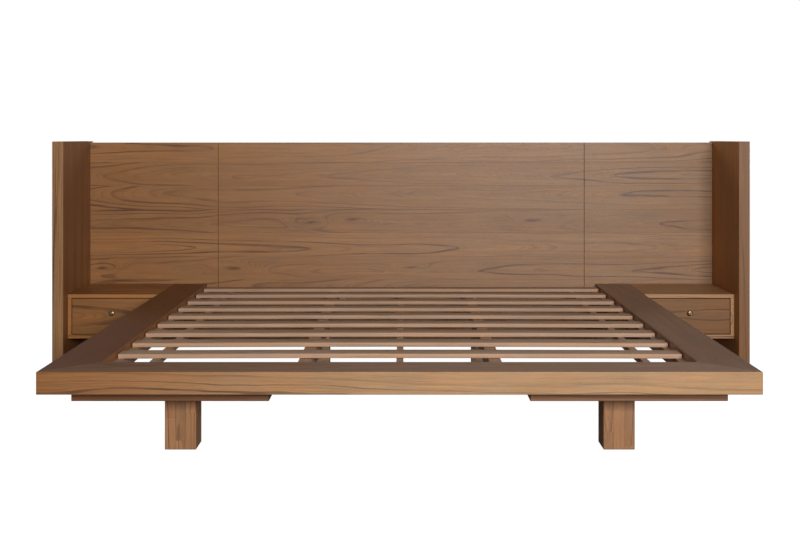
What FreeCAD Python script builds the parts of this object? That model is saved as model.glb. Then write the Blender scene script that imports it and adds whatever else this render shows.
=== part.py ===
import FreeCAD, Part
import os
from collections import namedtuple

import Sketcher

# A low timber platform bed for a 1930 x 2032 mattress. A tall three-panel headboard stands on the
# floor between two wings, and a drawer box fills each gap between a wing and the platform.
#
# Frame: millimetres, +Z up, +X to the right seen from the foot end, +Y towards the head end.
# The origin is on the floor under the middle of the whole bed. Left is -X, right is +X.

SLAT_COUNT = 9
LEDGE_SCREW_COUNT = 7
SIDES = {"left": -1, "right": 1}

DIMENSIONS = {
    # Platform
    "mattress_width": 1930,
    "mattress_length": 2032,
    "mattress_side_gap": 7.5,
    "mattress_end_gap": 18,
    "platform_height": 314,
    "rail_width": 164,
    "rail_height": 72,
    "edge_round": 2.5,
    # Headboard and wings
    "wing_thickness": 51,
    "wing_reach": 468,
    "wing_height": 1028,
    "panel_thickness": 25,
    "panel_drop": 7,
    "panel_seam": 1.5,
    "panel_round": 1.2,
    "centre_panel_width": 1835,
    "back_frame_depth": 35,
    "back_rail_height": 85,
    "back_stile_width": 60,
    # Feet
    "plank_length": 632,
    "plank_depth": 452,
    "plank_thickness": 37,
    "plank_side_inset": 88,
    "plank_front_inset": 76,
    "leg_width": 105,
    "support_leg_width": 66,
    "glide_diameter": 40,
    "glide_height": 4,
    # Slat deck
    "slat_thickness": 16,
    "slat_width": 78,
    "slat_recess": 11,
    "slat_end_gap": 5,
    "slat_round": 2,
    "first_slat_gap": 194,
    "last_slat_gap": 50,
    "ledge_width": 25,
    "ledge_height": 40,
    "batten_width": 24,
    "batten_height": 22,
    "batten_inset": 136,
    "batten_end_gap": 5,
    "beam_width": 42,
    "beam_height": 58,
    "cross_rail_depth": 45,
    # Steel brackets
    "bracket_arm": 80,
    "bracket_height": 40,
    "bracket_wall": 4,
    "bracket_lift": 8,
    "hanger_wall": 2,
    "hanger_reach": 45,
    "hanger_height": 40,
    "hanger_flange": 20,
    # Nightstand carcass
    "nightstand_width": 420,
    "nightstand_height": 207,
    "nightstand_setback": 68,
    "nightstand_gap": 1.5,
    "nightstand_board": 18,
    "nightstand_back": 9,
    "board_round": 1,
    # Drawer
    "drawer_gap": 3,
    "drawer_front_thickness": 18,
    "drawer_side_thickness": 12,
    "drawer_bottom_thickness": 6,
    "drawer_bottom_lift": 10,
    "drawer_groove_depth": 6,
    "drawer_box_height": 120,
    "drawer_box_lift": 8,
    "drawer_box_depth": 350,
    # Drawer slides
    "slide_space": 12.7,
    "slide_length": 346,
    "slide_height": 45,
    "slide_wall": 1.5,
    "slide_lip": 7,
    "slide_play": 0.6,
    "slide_setback": 2,
    # Knob
    "knob_diameter": 24,
    "knob_head": 12,
    "knob_neck": 9,
    "knob_neck_diameter": 11,
    "knob_rose": 3,
    "knob_rose_diameter": 17,
    "knob_stud_diameter": 5,
    "knob_round": 5,
    "knob_rise": 17,
    # Fasteners: shank diameter, head diameter, head height and length under the head
    "rail_bolt_shank": 10,
    "rail_bolt_head": 22,
    "rail_bolt_head_height": 6,
    "rail_bolt_length": 155,
    "rail_bolt_spread": 80,
    "joint_bolt_shank": 8,
    "joint_bolt_head": 16,
    "joint_bolt_head_height": 5,
    "joint_bolt_length": 90,
    "leg_bolt_shank": 10,
    "leg_bolt_head": 20,
    "leg_bolt_head_height": 7,
    "leg_bolt_length": 100,
    "leg_bolt_spread": 50,
    "nightstand_bolt_shank": 6,
    "nightstand_bolt_head": 13,
    "nightstand_bolt_head_height": 4,
    "nightstand_bolt_length": 42,
    "frame_screw_shank": 5,
    "frame_screw_head": 10,
    "frame_screw_head_height": 3,
    "frame_screw_length": 47,
    "batten_screw_shank": 4,
    "batten_screw_head": 8,
    "batten_screw_head_height": 2.5,
    "batten_screw_bite": 12,
    "bracket_screw_shank": 4.5,
    "bracket_screw_head": 9,
    "bracket_screw_head_height": 2.5,
    "bracket_screw_length": 30,
}


class Size:
    """A length that keeps its present value together with the sheet expression that gives it."""

    def __init__(self, value, text):
        self.value = float(value)
        self.text = text

    @staticmethod
    def of(other):
        if isinstance(other, Size):
            return other
        return Size(other, repr(float(other)))

    def combine(self, other, sign, result):
        return Size(result, "(" + self.text + " " + sign + " " + other.text + ")")

    def __add__(self, other):
        other = Size.of(other)
        return self.combine(other, "+", self.value + other.value)

    def __sub__(self, other):
        other = Size.of(other)
        return self.combine(other, "-", self.value - other.value)

    def __mul__(self, other):
        other = Size.of(other)
        return self.combine(other, "*", self.value * other.value)

    def __truediv__(self, other):
        other = Size.of(other)
        return self.combine(other, "/", self.value / other.value)

    def __radd__(self, other):
        return Size.of(other) + self

    def __rsub__(self, other):
        return Size.of(other) - self

    def __rmul__(self, other):
        return Size.of(other) * self

    def __neg__(self):
        return Size.of(0) - self


Fastener = namedtuple("Fastener", "shank head head_height length countersunk")

doc = FreeCAD.newDocument("platform_bed")
sheet = doc.addObject("Spreadsheet::Sheet", "Sheet")
for row, (alias, number) in enumerate(DIMENSIONS.items(), start=1):
    sheet.set("A" + str(row), alias)
    sheet.set("B" + str(row), str(number))
    sheet.setAlias("B" + str(row), alias)
doc.recompute()

size = namedtuple("Sizes", DIMENSIONS)(
    *[Size(number, "Sheet." + alias) for alias, number in DIMENSIONS.items()]
)
nodes = {}

# Places that several pieces share.
opening_width = size.mattress_width + 2 * size.mattress_side_gap
opening_length = size.mattress_length + size.mattress_end_gap
platform_width = opening_width + 2 * size.rail_width
platform_length = opening_length + size.rail_width
headboard_depth = size.panel_thickness + size.back_frame_depth
bed_length = platform_length + headboard_depth
rail_inner = opening_width / 2
rail_outer = platform_width / 2
wing_inner = rail_outer + size.nightstand_width + 2 * size.nightstand_gap
panel_seam_at = size.centre_panel_width / 2
foot_face = -(bed_length / 2)
foot_inner = foot_face + size.rail_width
panel_face = foot_face + platform_length
panel_back = panel_face + size.panel_thickness
bed_back = bed_length / 2
rail_bottom = size.platform_height - size.rail_height
plank_bottom = rail_bottom - size.plank_thickness
slat_top = size.platform_height - size.slat_recess
slat_bottom = slat_top - size.slat_thickness
beam_bottom = slat_bottom - size.beam_height
panel_top = size.wing_height - size.panel_drop
cross_rail_face = panel_face - size.cross_rail_depth
beam_at = opening_width / 6
batten_at = rail_inner - size.batten_inset


# ---------------------------------------------------------------- helpers

def bind(thing, name, length):
    thing.setExpression(name, Size.of(length).text)


def place(thing, at):
    for axis, length in zip("xyz", at):
        bind(thing, "Placement.Base." + axis, length)
    return thing


def beside(side, near, thickness):
    """Low x of a piece whose near face is that far from the middle, on either side of the bed."""
    if side > 0:
        return Size.of(near)
    return -(near + thickness)


def keep(thing, label):
    thing.Label = label
    nodes[label] = thing
    return thing


def origin_plane(body, role):
    for feature in body.Origin.OriginFeatures:
        if feature.Role == role:
            return feature
    raise ValueError(role)


def outline(body, name, points):
    """Closed straight-sided sketch on the body's XY plane, every corner tied to the sheet."""
    sketch = body.newObject("Sketcher::SketchObject", name)
    sketch.AttachmentSupport = [(origin_plane(body, "XY_Plane"), "")]
    sketch.MapMode = "FlatFace"
    corners = [(Size.of(x), Size.of(y)) for x, y in points]
    ends = [FreeCAD.Vector(x.value, y.value, 0) for x, y in corners]
    for index, start in enumerate(ends):
        sketch.addGeometry(Part.LineSegment(start, ends[(index + 1) % len(ends)]), False)
    for index in range(len(ends)):
        following = (index + 1) % len(ends)
        sketch.addConstraint(Sketcher.Constraint("Coincident", index, 2, following, 1))
    for index, corner in enumerate(corners):
        for kind, length, axis in (("DistanceX", corner[0], -2), ("DistanceY", corner[1], -1)):
            if length.value == 0:
                sketch.addConstraint(Sketcher.Constraint("PointOnObject", index, 1, axis))
                continue
            rule = Sketcher.Constraint(kind, -1, 1, index, 1, length.value)
            constraint_name = "corner_" + str(index) + "_" + kind[-1]
            number = sketch.addConstraint(rule)
            sketch.renameConstraint(number, constraint_name)
            bind(sketch, "Constraints." + constraint_name, length)
    return sketch


def prism(label, points, height, at, rounding=None, rounded_edges=None):
    """A board or rail: an outline padded upwards, with its edges eased."""
    body = doc.addObject("PartDesign::Body", label + "_body")
    pad = body.newObject("PartDesign::Pad", label + "_pad")
    pad.Profile = outline(body, label + "_outline", points)
    bind(pad, "Length", height)
    place(body, at)
    body.Tip = pad
    if rounding is None:
        return body
    fillet = body.newObject("PartDesign::Fillet", label + "_eased")
    if rounded_edges is None:
        fillet.Base = (pad, [])
        fillet.UseAllEdges = True
    else:
        doc.recompute()
        fillet.Base = (pad, rounded_edges(pad.Shape))
    bind(fillet, "Radius", rounding)
    body.Tip = fillet
    return body


def board(label, extent, at, rounding=None):
    width, depth, height = extent
    corners = [(0, 0), (width, 0), (width, depth), (0, depth)]
    return prism(label, corners, height, at, rounding)


def block(name, extent, at):
    box = doc.addObject("Part::Box", name)
    for side_name, length in zip(("Length", "Width", "Height"), extent):
        bind(box, side_name, length)
    return place(box, at)


def rod(name, diameter, height, at, direction=(0, 0, 1)):
    cylinder = doc.addObject("Part::Cylinder", name)
    bind(cylinder, "Radius", diameter / 2)
    bind(cylinder, "Height", height)
    turn = FreeCAD.Rotation(FreeCAD.Vector(0, 0, 1), FreeCAD.Vector(*direction))
    cylinder.Placement = FreeCAD.Placement(FreeCAD.Vector(), turn)
    return place(cylinder, at)


def join(name, first, second):
    fused = doc.addObject("Part::Fuse", name)
    fused.Base = first
    fused.Tool = second
    return fused


def group(name, members):
    compound = doc.addObject("Part::Compound", name)
    compound.Links = members
    return compound


def without(name, base, *tools):
    """The base with each tool's own shape taken out of it, so the two meet face to face."""
    for number, tool in enumerate(tools, start=1):
        cut = doc.addObject("Part::Cut", name + "_cut_" + str(number))
        cut.Base = base
        cut.Tool = tool
        base = cut
    return base


def fastener(name, kind, at, direction):
    """One bolt or screw. `at` is the middle of the face its head bears on, or lies flush with."""
    along = FreeCAD.Vector(*direction)
    if kind.countersunk:
        head = doc.addObject("Part::Cone", name + "_head")
        bind(head, "Radius1", kind.head / 2)
        bind(head, "Radius2", kind.shank / 2)
        bind(head, "Height", kind.head_height)
    else:
        head = rod(name + "_head", kind.head, kind.head_height, (0, 0, 0))
    shank = rod(name + "_shank", kind.shank, kind.length, (0, 0, kind.head_height))
    whole = join(name, head, shank)
    whole.Placement = FreeCAD.Placement(
        FreeCAD.Vector(), FreeCAD.Rotation(FreeCAD.Vector(0, 0, 1), along)
    )
    return place(whole, at)


def standing_proud(at, direction, kind):
    """Moves a fastener back along its axis, so its head stands on the face instead of in it."""
    return tuple(Size.of(start) - step * kind.head_height for start, step in zip(at, direction))


def spread(low, high, count):
    step = (high - low) / (count - 1)
    return [low + index * step for index in range(count)]


# ---------------------------------------------------------------- fasteners

RAIL_BOLT = Fastener(
    size.rail_bolt_shank, size.rail_bolt_head, size.rail_bolt_head_height, size.rail_bolt_length, False
)
JOINT_BOLT = Fastener(
    size.joint_bolt_shank,
    size.joint_bolt_head,
    size.joint_bolt_head_height,
    size.joint_bolt_length,
    False,
)
LEG_BOLT = Fastener(
    size.leg_bolt_shank, size.leg_bolt_head, size.leg_bolt_head_height, size.leg_bolt_length, False
)
NIGHTSTAND_BOLT = Fastener(
    size.nightstand_bolt_shank,
    size.nightstand_bolt_head,
    size.nightstand_bolt_head_height,
    size.nightstand_bolt_length,
    False,
)
FRAME_SCREW = Fastener(
    size.frame_screw_shank,
    size.frame_screw_head,
    size.frame_screw_head_height,
    size.frame_screw_length,
    True,
)
BATTEN_SCREW = Fastener(
    size.batten_screw_shank,
    size.batten_screw_head,
    size.batten_screw_head_height,
    size.batten_height + size.batten_screw_bite - size.batten_screw_head_height,
    True,
)
BRACKET_SCREW = Fastener(
    size.bracket_screw_shank,
    size.bracket_screw_head,
    size.bracket_screw_head_height,
    size.bracket_screw_length,
    False,
)


def make_rail_bolts():
    """Long bolts from behind the headboard into the end grain of the two side rails."""
    bolts = []
    middle = rail_inner + size.rail_width / 2
    height = size.platform_height - size.rail_height / 2
    for side_name, side in SIDES.items():
        for end in (-1, 1):
            across = side * (middle + end * size.rail_bolt_spread / 2)
            name = "rail_bolt_" + side_name + ("_inner" if end < 0 else "_outer")
            bolts.append(fastener(name, RAIL_BOLT, (across, bed_back, height), (0, -1, 0)))
    return bolts


def make_cross_rail_bolts():
    height = slat_bottom - size.beam_height / 2
    bolts = []
    for number, across in enumerate(spread(opening_width * -0.36, opening_width * 0.36, 3), start=1):
        name = "cross_rail_bolt_" + str(number)
        bolts.append(fastener(name, JOINT_BOLT, (across, bed_back, height), (0, -1, 0)))
    return bolts


def make_wing_bolts(side_name, side):
    """Three bolts through the outer stiles into the wing."""
    depth = panel_back + size.back_frame_depth / 2
    near = side * (wing_inner - size.back_stile_width)
    lower_middle = size.platform_height / 2
    upper_low = size.platform_height + size.back_rail_height
    upper_high = panel_top - 2 * size.back_rail_height
    bolts = []
    for number, height in enumerate((lower_middle, upper_low, upper_high), start=1):
        name = "wing_bolt_" + side_name + "_" + str(number)
        bolts.append(fastener(name, JOINT_BOLT, (near, depth, height), (side, 0, 0)))
    return bolts


def make_support_leg_bolt(side_name, side):
    middle = (foot_inner + cross_rail_face) / 2
    return fastener(
        "support_leg_bolt_" + side_name, JOINT_BOLT, (side * beam_at, middle, slat_bottom), (0, 0, -1)
    )


def leg_middle(side):
    across = rail_outer - size.plank_side_inset - size.plank_length / 2
    return side * across, foot_face + size.plank_front_inset + size.plank_depth / 2


def make_leg_bolts(side_name, side):
    """Two bolts down through the foot plank into the leg, their heads standing on the plank."""
    across, along = leg_middle(side)
    bolts = []
    for number, end in enumerate((-1, 1), start=1):
        down = (0, 0, -1)
        at = (across + end * size.leg_bolt_spread / 2, along, rail_bottom)
        name = "leg_bolt_" + side_name + "_" + str(number)
        bolts.append(fastener(name, LEG_BOLT, standing_proud(at, down, LEG_BOLT), down))
    return bolts


def nightstand_face():
    return panel_face - size.wing_reach + size.nightstand_setback


def make_nightstand_bolts(side_name, side, wall):
    """Two bolts from inside the carcass: through its inner board into the rail, or its outer
    board into the wing."""
    if wall == "inner":
        near = rail_outer + size.nightstand_gap + size.nightstand_board
        outward = -side
    else:
        near = wing_inner - size.nightstand_gap - size.nightstand_board
        outward = side
    height = size.platform_height - size.nightstand_board - 2 * size.nightstand_bolt_head
    depth = size.wing_reach - size.nightstand_setback
    bolts = []
    for number, share in enumerate((0.25, 0.75), start=1):
        direction = (outward, 0, 0)
        at = (side * near, nightstand_face() + depth * share, height)
        name = "nightstand_bolt_" + side_name + "_" + wall + "_" + str(number)
        start = standing_proud(at, direction, NIGHTSTAND_BOLT)
        bolts.append(fastener(name, NIGHTSTAND_BOLT, start, direction))
    return bolts


def make_ledge_screws(side_name, side):
    low = ledge_start() + size.bracket_arm / 2
    high = cross_rail_face - size.bracket_arm / 2
    near = side * (rail_inner - size.ledge_width)
    height = slat_bottom - size.ledge_height / 2
    screws = []
    for number, along in enumerate(spread(low, high, LEDGE_SCREW_COUNT), start=1):
        name = "ledge_screw_" + side_name + "_" + str(number)
        screws.append(fastener(name, FRAME_SCREW, (near, along, height), (side, 0, 0)))
    return screws


def make_plank_screws(side_name, side):
    """Five screws up through each foot plank: three into the front rail, two into the side rail."""
    across, along = leg_middle(side)
    under_front = foot_face + (size.plank_front_inset + size.rail_width) / 2
    under_side = side * (rail_inner + rail_outer - size.plank_side_inset) / 2
    places = [(across + end * size.plank_length / 3, under_front) for end in (-1, 0, 1)]
    places += [(under_side, along + end * size.plank_depth / 4) for end in (0, 1)]
    screws = []
    for number, (x, y) in enumerate(places, start=1):
        name = "plank_screw_" + side_name + "_" + str(number)
        screws.append(fastener(name, FRAME_SCREW, (x, y, plank_bottom), (0, 0, 1)))
    return screws


def make_panel_screws():
    """Screws from behind, through the three back rails into the headboard panels."""
    side_width = wing_inner - panel_seam_at
    places = [end * size.centre_panel_width * share for end in (-1, 1) for share in (0.15, 0.4)]
    places += [side * (panel_seam_at + side_width * share) for side in (-1, 1) for share in (0.2, 0.8)]
    half_rail = size.back_rail_height / 2
    heights = (half_rail, size.platform_height - 3 * size.frame_screw_shank, panel_top - half_rail)
    screws = []
    for level, height in enumerate(heights, start=1):
        for number, across in enumerate(places, start=1):
            name = "panel_screw_" + str(level) + "_" + str(number)
            screws.append(fastener(name, FRAME_SCREW, (across, bed_back, height), (0, -1, 0)))
    return screws


def make_bracket_screws(side_name, side):
    """Two screws in each arm of a corner bracket."""
    height = rail_bottom + size.bracket_lift + size.bracket_height / 2
    screws = []
    for number, share in enumerate((0.35, 0.8), start=1):
        reach = size.bracket_arm * share
        to_front = (0, -1, 0)
        front = (side * (rail_inner - reach), foot_inner + size.bracket_wall, height)
        name = "bracket_screw_" + side_name + "_front_" + str(number)
        start = standing_proud(front, to_front, BRACKET_SCREW)
        screws.append(fastener(name, BRACKET_SCREW, start, to_front))
        to_side = (side, 0, 0)
        flank = (side * (rail_inner - size.bracket_wall), foot_inner + reach, height)
        name = "bracket_screw_" + side_name + "_side_" + str(number)
        start = standing_proud(flank, to_side, BRACKET_SCREW)
        screws.append(fastener(name, BRACKET_SCREW, start, to_side))
    return screws


def make_hanger_screws(side_name, side, end_name):
    """Two screws through a hanger's flanges, into the front rail or the cross rail."""
    if end_name == "foot":
        face = foot_inner + size.hanger_wall
        into = (0, -1, 0)
    else:
        face = cross_rail_face - size.hanger_wall
        into = (0, 1, 0)
    height = beam_bottom + size.hanger_height / 2
    reach = size.beam_width / 2 + size.hanger_wall + size.hanger_flange / 2
    screws = []
    for number, end in enumerate((-1, 1), start=1):
        at = (side * beam_at + end * reach, face, height)
        name = "hanger_screw_" + side_name + "_" + end_name + "_" + str(number)
        start = standing_proud(at, into, BRACKET_SCREW)
        screws.append(fastener(name, BRACKET_SCREW, start, into))
    return screws


# ---------------------------------------------------------------- slat deck

def ledge_start():
    return foot_inner + size.bracket_arm + size.bracket_wall


def slat_front(index):
    room = opening_length - size.first_slat_gap - size.last_slat_gap - size.slat_width
    pitch = room / (SLAT_COUNT - 1)
    return foot_inner + size.first_slat_gap + index * pitch


def make_slat_deck():
    """Nine slats held at their spacing by three battens, each crossing fixed by one screw."""
    slat_length = opening_width - 2 * size.slat_end_gap
    slat_extent = (slat_length, size.slat_width, size.slat_thickness)
    batten_start = foot_inner + size.batten_end_gap
    batten_length = cross_rail_face - size.batten_end_gap - batten_start
    batten_extent = (size.batten_width, batten_length, size.batten_height)
    batten_places = (-batten_at, Size.of(0), batten_at)
    screws = {}
    for slat in range(SLAT_COUNT):
        for batten, across in enumerate(batten_places):
            at = (across, slat_front(slat) + size.slat_width / 2, slat_bottom - size.batten_height)
            name = "batten_screw_" + str(slat + 1) + "_" + str(batten + 1)
            screws[slat, batten] = fastener(name, BATTEN_SCREW, at, (0, 0, 1))
    slats = []
    for slat in range(SLAT_COUNT):
        name = "slat_" + str(slat + 1)
        at = (-(slat_length / 2), slat_front(slat), slat_bottom)
        blank = board(name, slat_extent, at, size.slat_round)
        tool = group(name + "_screws", [screws[slat, batten] for batten in range(3)])
        slats.append(without(name, blank, tool))
    battens = []
    for batten, across in enumerate(batten_places):
        name = "batten_" + str(batten + 1)
        at = (across - size.batten_width / 2, batten_start, slat_bottom - size.batten_height)
        blank = board(name, batten_extent, at)
        tool = group(name + "_screws", [screws[slat, batten] for slat in range(SLAT_COUNT)])
        battens.append(without(name, blank, tool))
    keep(group("slat_group", slats), "slats")
    keep(group("batten_group", battens), "slat_battens")
    keep(group("batten_screw_group", list(screws.values())), "batten_screws")


def make_ledge(side_name, side, screws):
    length = cross_rail_face - ledge_start()
    at = (beside(side, rail_inner - size.ledge_width, size.ledge_width), ledge_start(),
          slat_bottom - size.ledge_height)
    blank = board(side_name + "_ledge", (size.ledge_width, length, size.ledge_height), at)
    keep(without(side_name + "_ledge", blank, screws), side_name + "_slat_ledge")


def make_support(side_name, side, bolt):
    """A beam under the slats at a third of the width, carried by hangers and a middle leg."""
    start = foot_inner + size.hanger_wall
    length = cross_rail_face - size.hanger_wall - start
    at = (side * beam_at - size.beam_width / 2, start, beam_bottom)
    beam = board(side_name + "_beam", (size.beam_width, length, size.beam_height), at)
    keep(without(side_name + "_beam", beam, bolt), side_name + "_support_beam")
    width = size.support_leg_width
    middle = (foot_inner + cross_rail_face) / 2
    leg_extent = (width, width, beam_bottom - size.glide_height)
    leg_at = (side * beam_at - width / 2, middle - width / 2, size.glide_height)
    leg = board(side_name + "_support_leg", leg_extent, leg_at, size.edge_round)
    keep(without(side_name + "_support_leg", leg, bolt), side_name + "_support_leg")


def make_hanger(side_name, side, end_name, screws):
    """A folded steel saddle: a flanged back plate, a floor and two cheeks around the beam's end."""
    wall = size.hanger_wall
    saddle_width = size.beam_width + 2 * wall
    plate_width = saddle_width + 2 * size.hanger_flange
    across = side * beam_at
    low = beam_bottom - wall
    if end_name == "foot":
        plate_low = foot_inner
        saddle_low = foot_inner
    else:
        plate_low = cross_rail_face - wall
        saddle_low = cross_rail_face - size.hanger_reach
    name = side_name + "_" + end_name + "_hanger"
    plate = block(name + "_plate", (plate_width, wall, size.hanger_height),
                  (across - plate_width / 2, plate_low, low))
    outer = block(name + "_outer", (saddle_width, size.hanger_reach, size.hanger_height),
                  (across - saddle_width / 2, saddle_low, low))
    inner = block(name + "_inner", (size.beam_width, size.hanger_reach, size.hanger_height),
                  (across - size.beam_width / 2, saddle_low, beam_bottom))
    saddle = without(name + "_saddle", outer, inner)
    return without(name, join(name + "_blank", plate, saddle), screws)


# ---------------------------------------------------------------- platform

def off_mitre(*faces):
    """Picks the edges to ease: all but those that lie in one of the mitre faces. Each face is
    given as a function that is zero at the points on it."""
    def lies_in(edge, face):
        return all(abs(face(vertex.Point)) < 0.001 for vertex in edge.Vertexes)

    def pick(shape):
        return [
            "Edge" + str(number)
            for number, edge in enumerate(shape.Edges, start=1)
            if not any(lies_in(edge, face) for face in faces)
        ]
    return pick


def make_front_rail(*screws):
    width = size.rail_width
    corners = [
        (0, 0),
        (platform_width, 0),
        (platform_width - width, width),
        (width, width),
    ]

    def left_mitre(point):
        return point.x - point.y

    def right_mitre(point):
        return platform_width.value - point.x - point.y

    at = (-rail_outer, foot_face, rail_bottom)
    eased = off_mitre(left_mitre, right_mitre)
    rail = prism("front_rail", corners, size.rail_height, at, size.edge_round, eased)
    keep(without("front_rail", rail, *screws), "front_rail")


def make_side_rail(side_name, side, *fasteners):
    width = size.rail_width
    if side < 0:
        corners = [(0, 0), (width, width), (width, platform_length), (0, platform_length)]
    else:
        corners = [(0, width), (width, 0), (width, platform_length), (0, platform_length)]

    def mitre(point):
        from_outer = point.x if side < 0 else width.value - point.x
        return from_outer - point.y

    name = side_name + "_side_rail"
    at = (beside(side, rail_inner, width), foot_face, rail_bottom)
    rail = prism(name, corners, size.rail_height, at, size.edge_round, off_mitre(mitre))
    keep(without(name, rail, *fasteners), name)


def make_cross_rail(*fasteners):
    extent = (opening_width, size.cross_rail_depth, size.beam_height)
    blank = board("head_cross_rail", extent, (-rail_inner, cross_rail_face, beam_bottom))
    keep(without("head_cross_rail", blank, *fasteners), "head_cross_rail")


def make_corner_bracket(side_name, side, screws):
    low = rail_bottom + size.bracket_lift
    arm = size.bracket_arm
    wall = size.bracket_wall
    name = side_name + "_bracket"
    front = block(name + "_front", (arm, wall, size.bracket_height),
                  (beside(side, rail_inner - arm, arm), foot_inner, low))
    flank = block(name + "_side", (wall, arm, size.bracket_height),
                  (beside(side, rail_inner - wall, wall), foot_inner, low))
    return without(name, join(name + "_blank", front, flank), screws)


def make_foot(side_name, side, screws, bolts):
    """A wide plank under the corner of the platform, with a square leg under its middle."""
    across, along = leg_middle(side)
    plank_extent = (size.plank_length, size.plank_depth, size.plank_thickness)
    plank_at = (across - size.plank_length / 2, along - size.plank_depth / 2, plank_bottom)
    plank = board(side_name + "_plank", plank_extent, plank_at, size.edge_round)
    keep(without(side_name + "_plank", plank, screws, bolts), side_name + "_foot_plank")
    width = size.leg_width
    leg_extent = (width, width, plank_bottom - size.glide_height)
    leg_at = (across - width / 2, along - width / 2, size.glide_height)
    leg = board(side_name + "_leg", leg_extent, leg_at, size.edge_round)
    keep(without(side_name + "_leg", leg, bolts), side_name + "_leg")


def make_glides():
    middle = (foot_inner + cross_rail_face) / 2
    glides = []
    for side_name, side in SIDES.items():
        across, along = leg_middle(side)
        spots = {"_leg_glide": (across, along), "_support_glide": (side * beam_at, middle)}
        for name, (x, y) in spots.items():
            glides.append(rod(side_name + name, size.glide_diameter, size.glide_height, (x, y, 0)))
    keep(group("glide_group", glides), "foot_glides")


# ---------------------------------------------------------------- headboard

def make_wing(side_name, side, *fasteners):
    extent = (size.wing_thickness, size.wing_reach + headboard_depth, size.wing_height)
    at = (beside(side, wing_inner, size.wing_thickness), panel_face - size.wing_reach, 0)
    blank = board(side_name + "_wing", extent, at, size.edge_round)
    keep(without(side_name + "_wing", blank, *fasteners), side_name + "_wing")


def make_panels(*fasteners):
    seam = size.panel_seam
    centre_width = size.centre_panel_width - seam
    side_width = wing_inner - panel_seam_at - seam / 2
    centre = board("headboard_centre_panel", (centre_width, size.panel_thickness, panel_top),
                   (-(centre_width / 2), panel_face, 0), size.panel_round)
    keep(without("headboard_centre_panel", centre, *fasteners), "headboard_centre_panel")
    for side_name, side in SIDES.items():
        name = "headboard_" + side_name + "_panel"
        at = (beside(side, panel_seam_at + seam / 2, side_width), panel_face, 0)
        blank = board(name, (side_width, size.panel_thickness, panel_top), at, size.panel_round)
        keep(without(name, blank, *fasteners), name)


def make_back_frame(rail_fasteners, stile_bolts):
    """Three rails from wing to wing behind the panels, with short stiles between them."""
    rail_height = size.back_rail_height
    middle_low = size.platform_height - rail_height
    top_low = panel_top - rail_height
    extent = (2 * wing_inner, size.back_frame_depth, rail_height)
    rails = []
    for name, low in (("bottom", Size.of(0)), ("middle", middle_low), ("top", top_low)):
        blank = board("back_rail_" + name, extent, (-wing_inner, panel_back, low))
        rails.append(without("back_rail_" + name, blank, *rail_fasteners))
    keep(group("back_rail_group", rails), "headboard_rails")
    half = size.back_stile_width / 2
    bays = {"lower": (rail_height, middle_low), "upper": (size.platform_height, top_low)}
    for bay, (low, high) in bays.items():
        stiles = []
        for side_name, side in SIDES.items():
            for spot, across in (("seam", panel_seam_at), ("wing", wing_inner - half)):
                name = "back_stile_" + bay + "_" + side_name + "_" + spot
                stile_extent = (size.back_stile_width, size.back_frame_depth, high - low)
                blank = board(name, stile_extent, (side * across - half, panel_back, low))
                stiles.append(without(name, blank, stile_bolts))
        keep(group("back_stile_group_" + bay, stiles), "headboard_" + bay + "_stiles")


# ---------------------------------------------------------------- nightstands

def make_nightstand(side_name, side, inner_bolts, outer_bolts):
    """The drawer's carcass: top and bottom boards over two side boards, and a thin back."""
    wall = size.nightstand_board
    width = size.nightstand_width
    depth = size.wing_reach - size.nightstand_setback
    face = nightstand_face()
    low = size.platform_height - size.nightstand_height
    near = rail_outer + size.nightstand_gap
    name = side_name + "_nightstand"
    for cap, height in (("bottom", low), ("top", size.platform_height - wall)):
        at = (beside(side, near, width), face, height)
        keep(board(name + "_" + cap, (width, depth, wall), at, size.board_round), name + "_" + cap)
    side_height = size.nightstand_height - 2 * wall
    for spot, start, bolts in (("inner", near, inner_bolts), ("outer", near + width - wall, outer_bolts)):
        at = (beside(side, start, wall), face, low + wall)
        label = name + "_" + spot + "_side"
        blank = board(label, (wall, depth, side_height), at, size.board_round)
        keep(without(label, blank, bolts), label)
    back_extent = (width - 2 * wall, size.nightstand_back, side_height)
    back_at = (beside(side, near + wall, width - 2 * wall), panel_face - size.nightstand_back, low + wall)
    keep(board(name + "_back", back_extent, back_at), name + "_back")


def drawer_low():
    lift = size.nightstand_board + size.drawer_gap
    return size.platform_height - size.nightstand_height + lift


def make_knob(side_name, across, face, height):
    """A turned knob: head, neck, rose and the stud that holds it through the drawer's front."""
    head = size.knob_diameter / 2
    neck = size.knob_neck_diameter / 2
    rose = size.knob_rose_diameter / 2
    stud = size.knob_stud_diameter / 2
    top_of_rose = size.drawer_front_thickness + size.knob_rose
    under_head = top_of_rose + size.knob_neck
    body = doc.addObject("PartDesign::Body", side_name + "_knob_body")
    turning = body.newObject("PartDesign::Revolution", side_name + "_knob_turning")
    profile = outline(body, side_name + "_knob_profile", [
        (0, 0),
        (stud, 0),
        (stud, size.drawer_front_thickness),
        (rose, size.drawer_front_thickness),
        (rose, top_of_rose),
        (neck, top_of_rose),
        (neck, under_head),
        (head, under_head),
        (head, under_head + size.knob_head),
        (0, under_head + size.knob_head),
    ])
    turning.Profile = profile
    turning.ReferenceAxis = (profile, ["V_Axis"])
    turning.Angle = 360
    body.Tip = turning
    doc.recompute()
    rims = []
    for number, edge in enumerate(turning.Shape.Edges, start=1):
        if isinstance(edge.Curve, Part.Circle) and abs(edge.Curve.Radius - head.value) < 0.001:
            rims.append("Edge" + str(number))
    fillet = body.newObject("PartDesign::Fillet", side_name + "_knob_rounded")
    fillet.Base = (turning, rims)
    bind(fillet, "Radius", size.knob_round)
    body.Tip = fillet
    half_turn = FreeCAD.Rotation(FreeCAD.Vector(0, 0, 1), 180)
    body.Placement = FreeCAD.Placement(FreeCAD.Vector(), half_turn)
    place(body, (across, face + size.drawer_front_thickness, height))
    return keep(body, side_name + "_drawer_knob")


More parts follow.
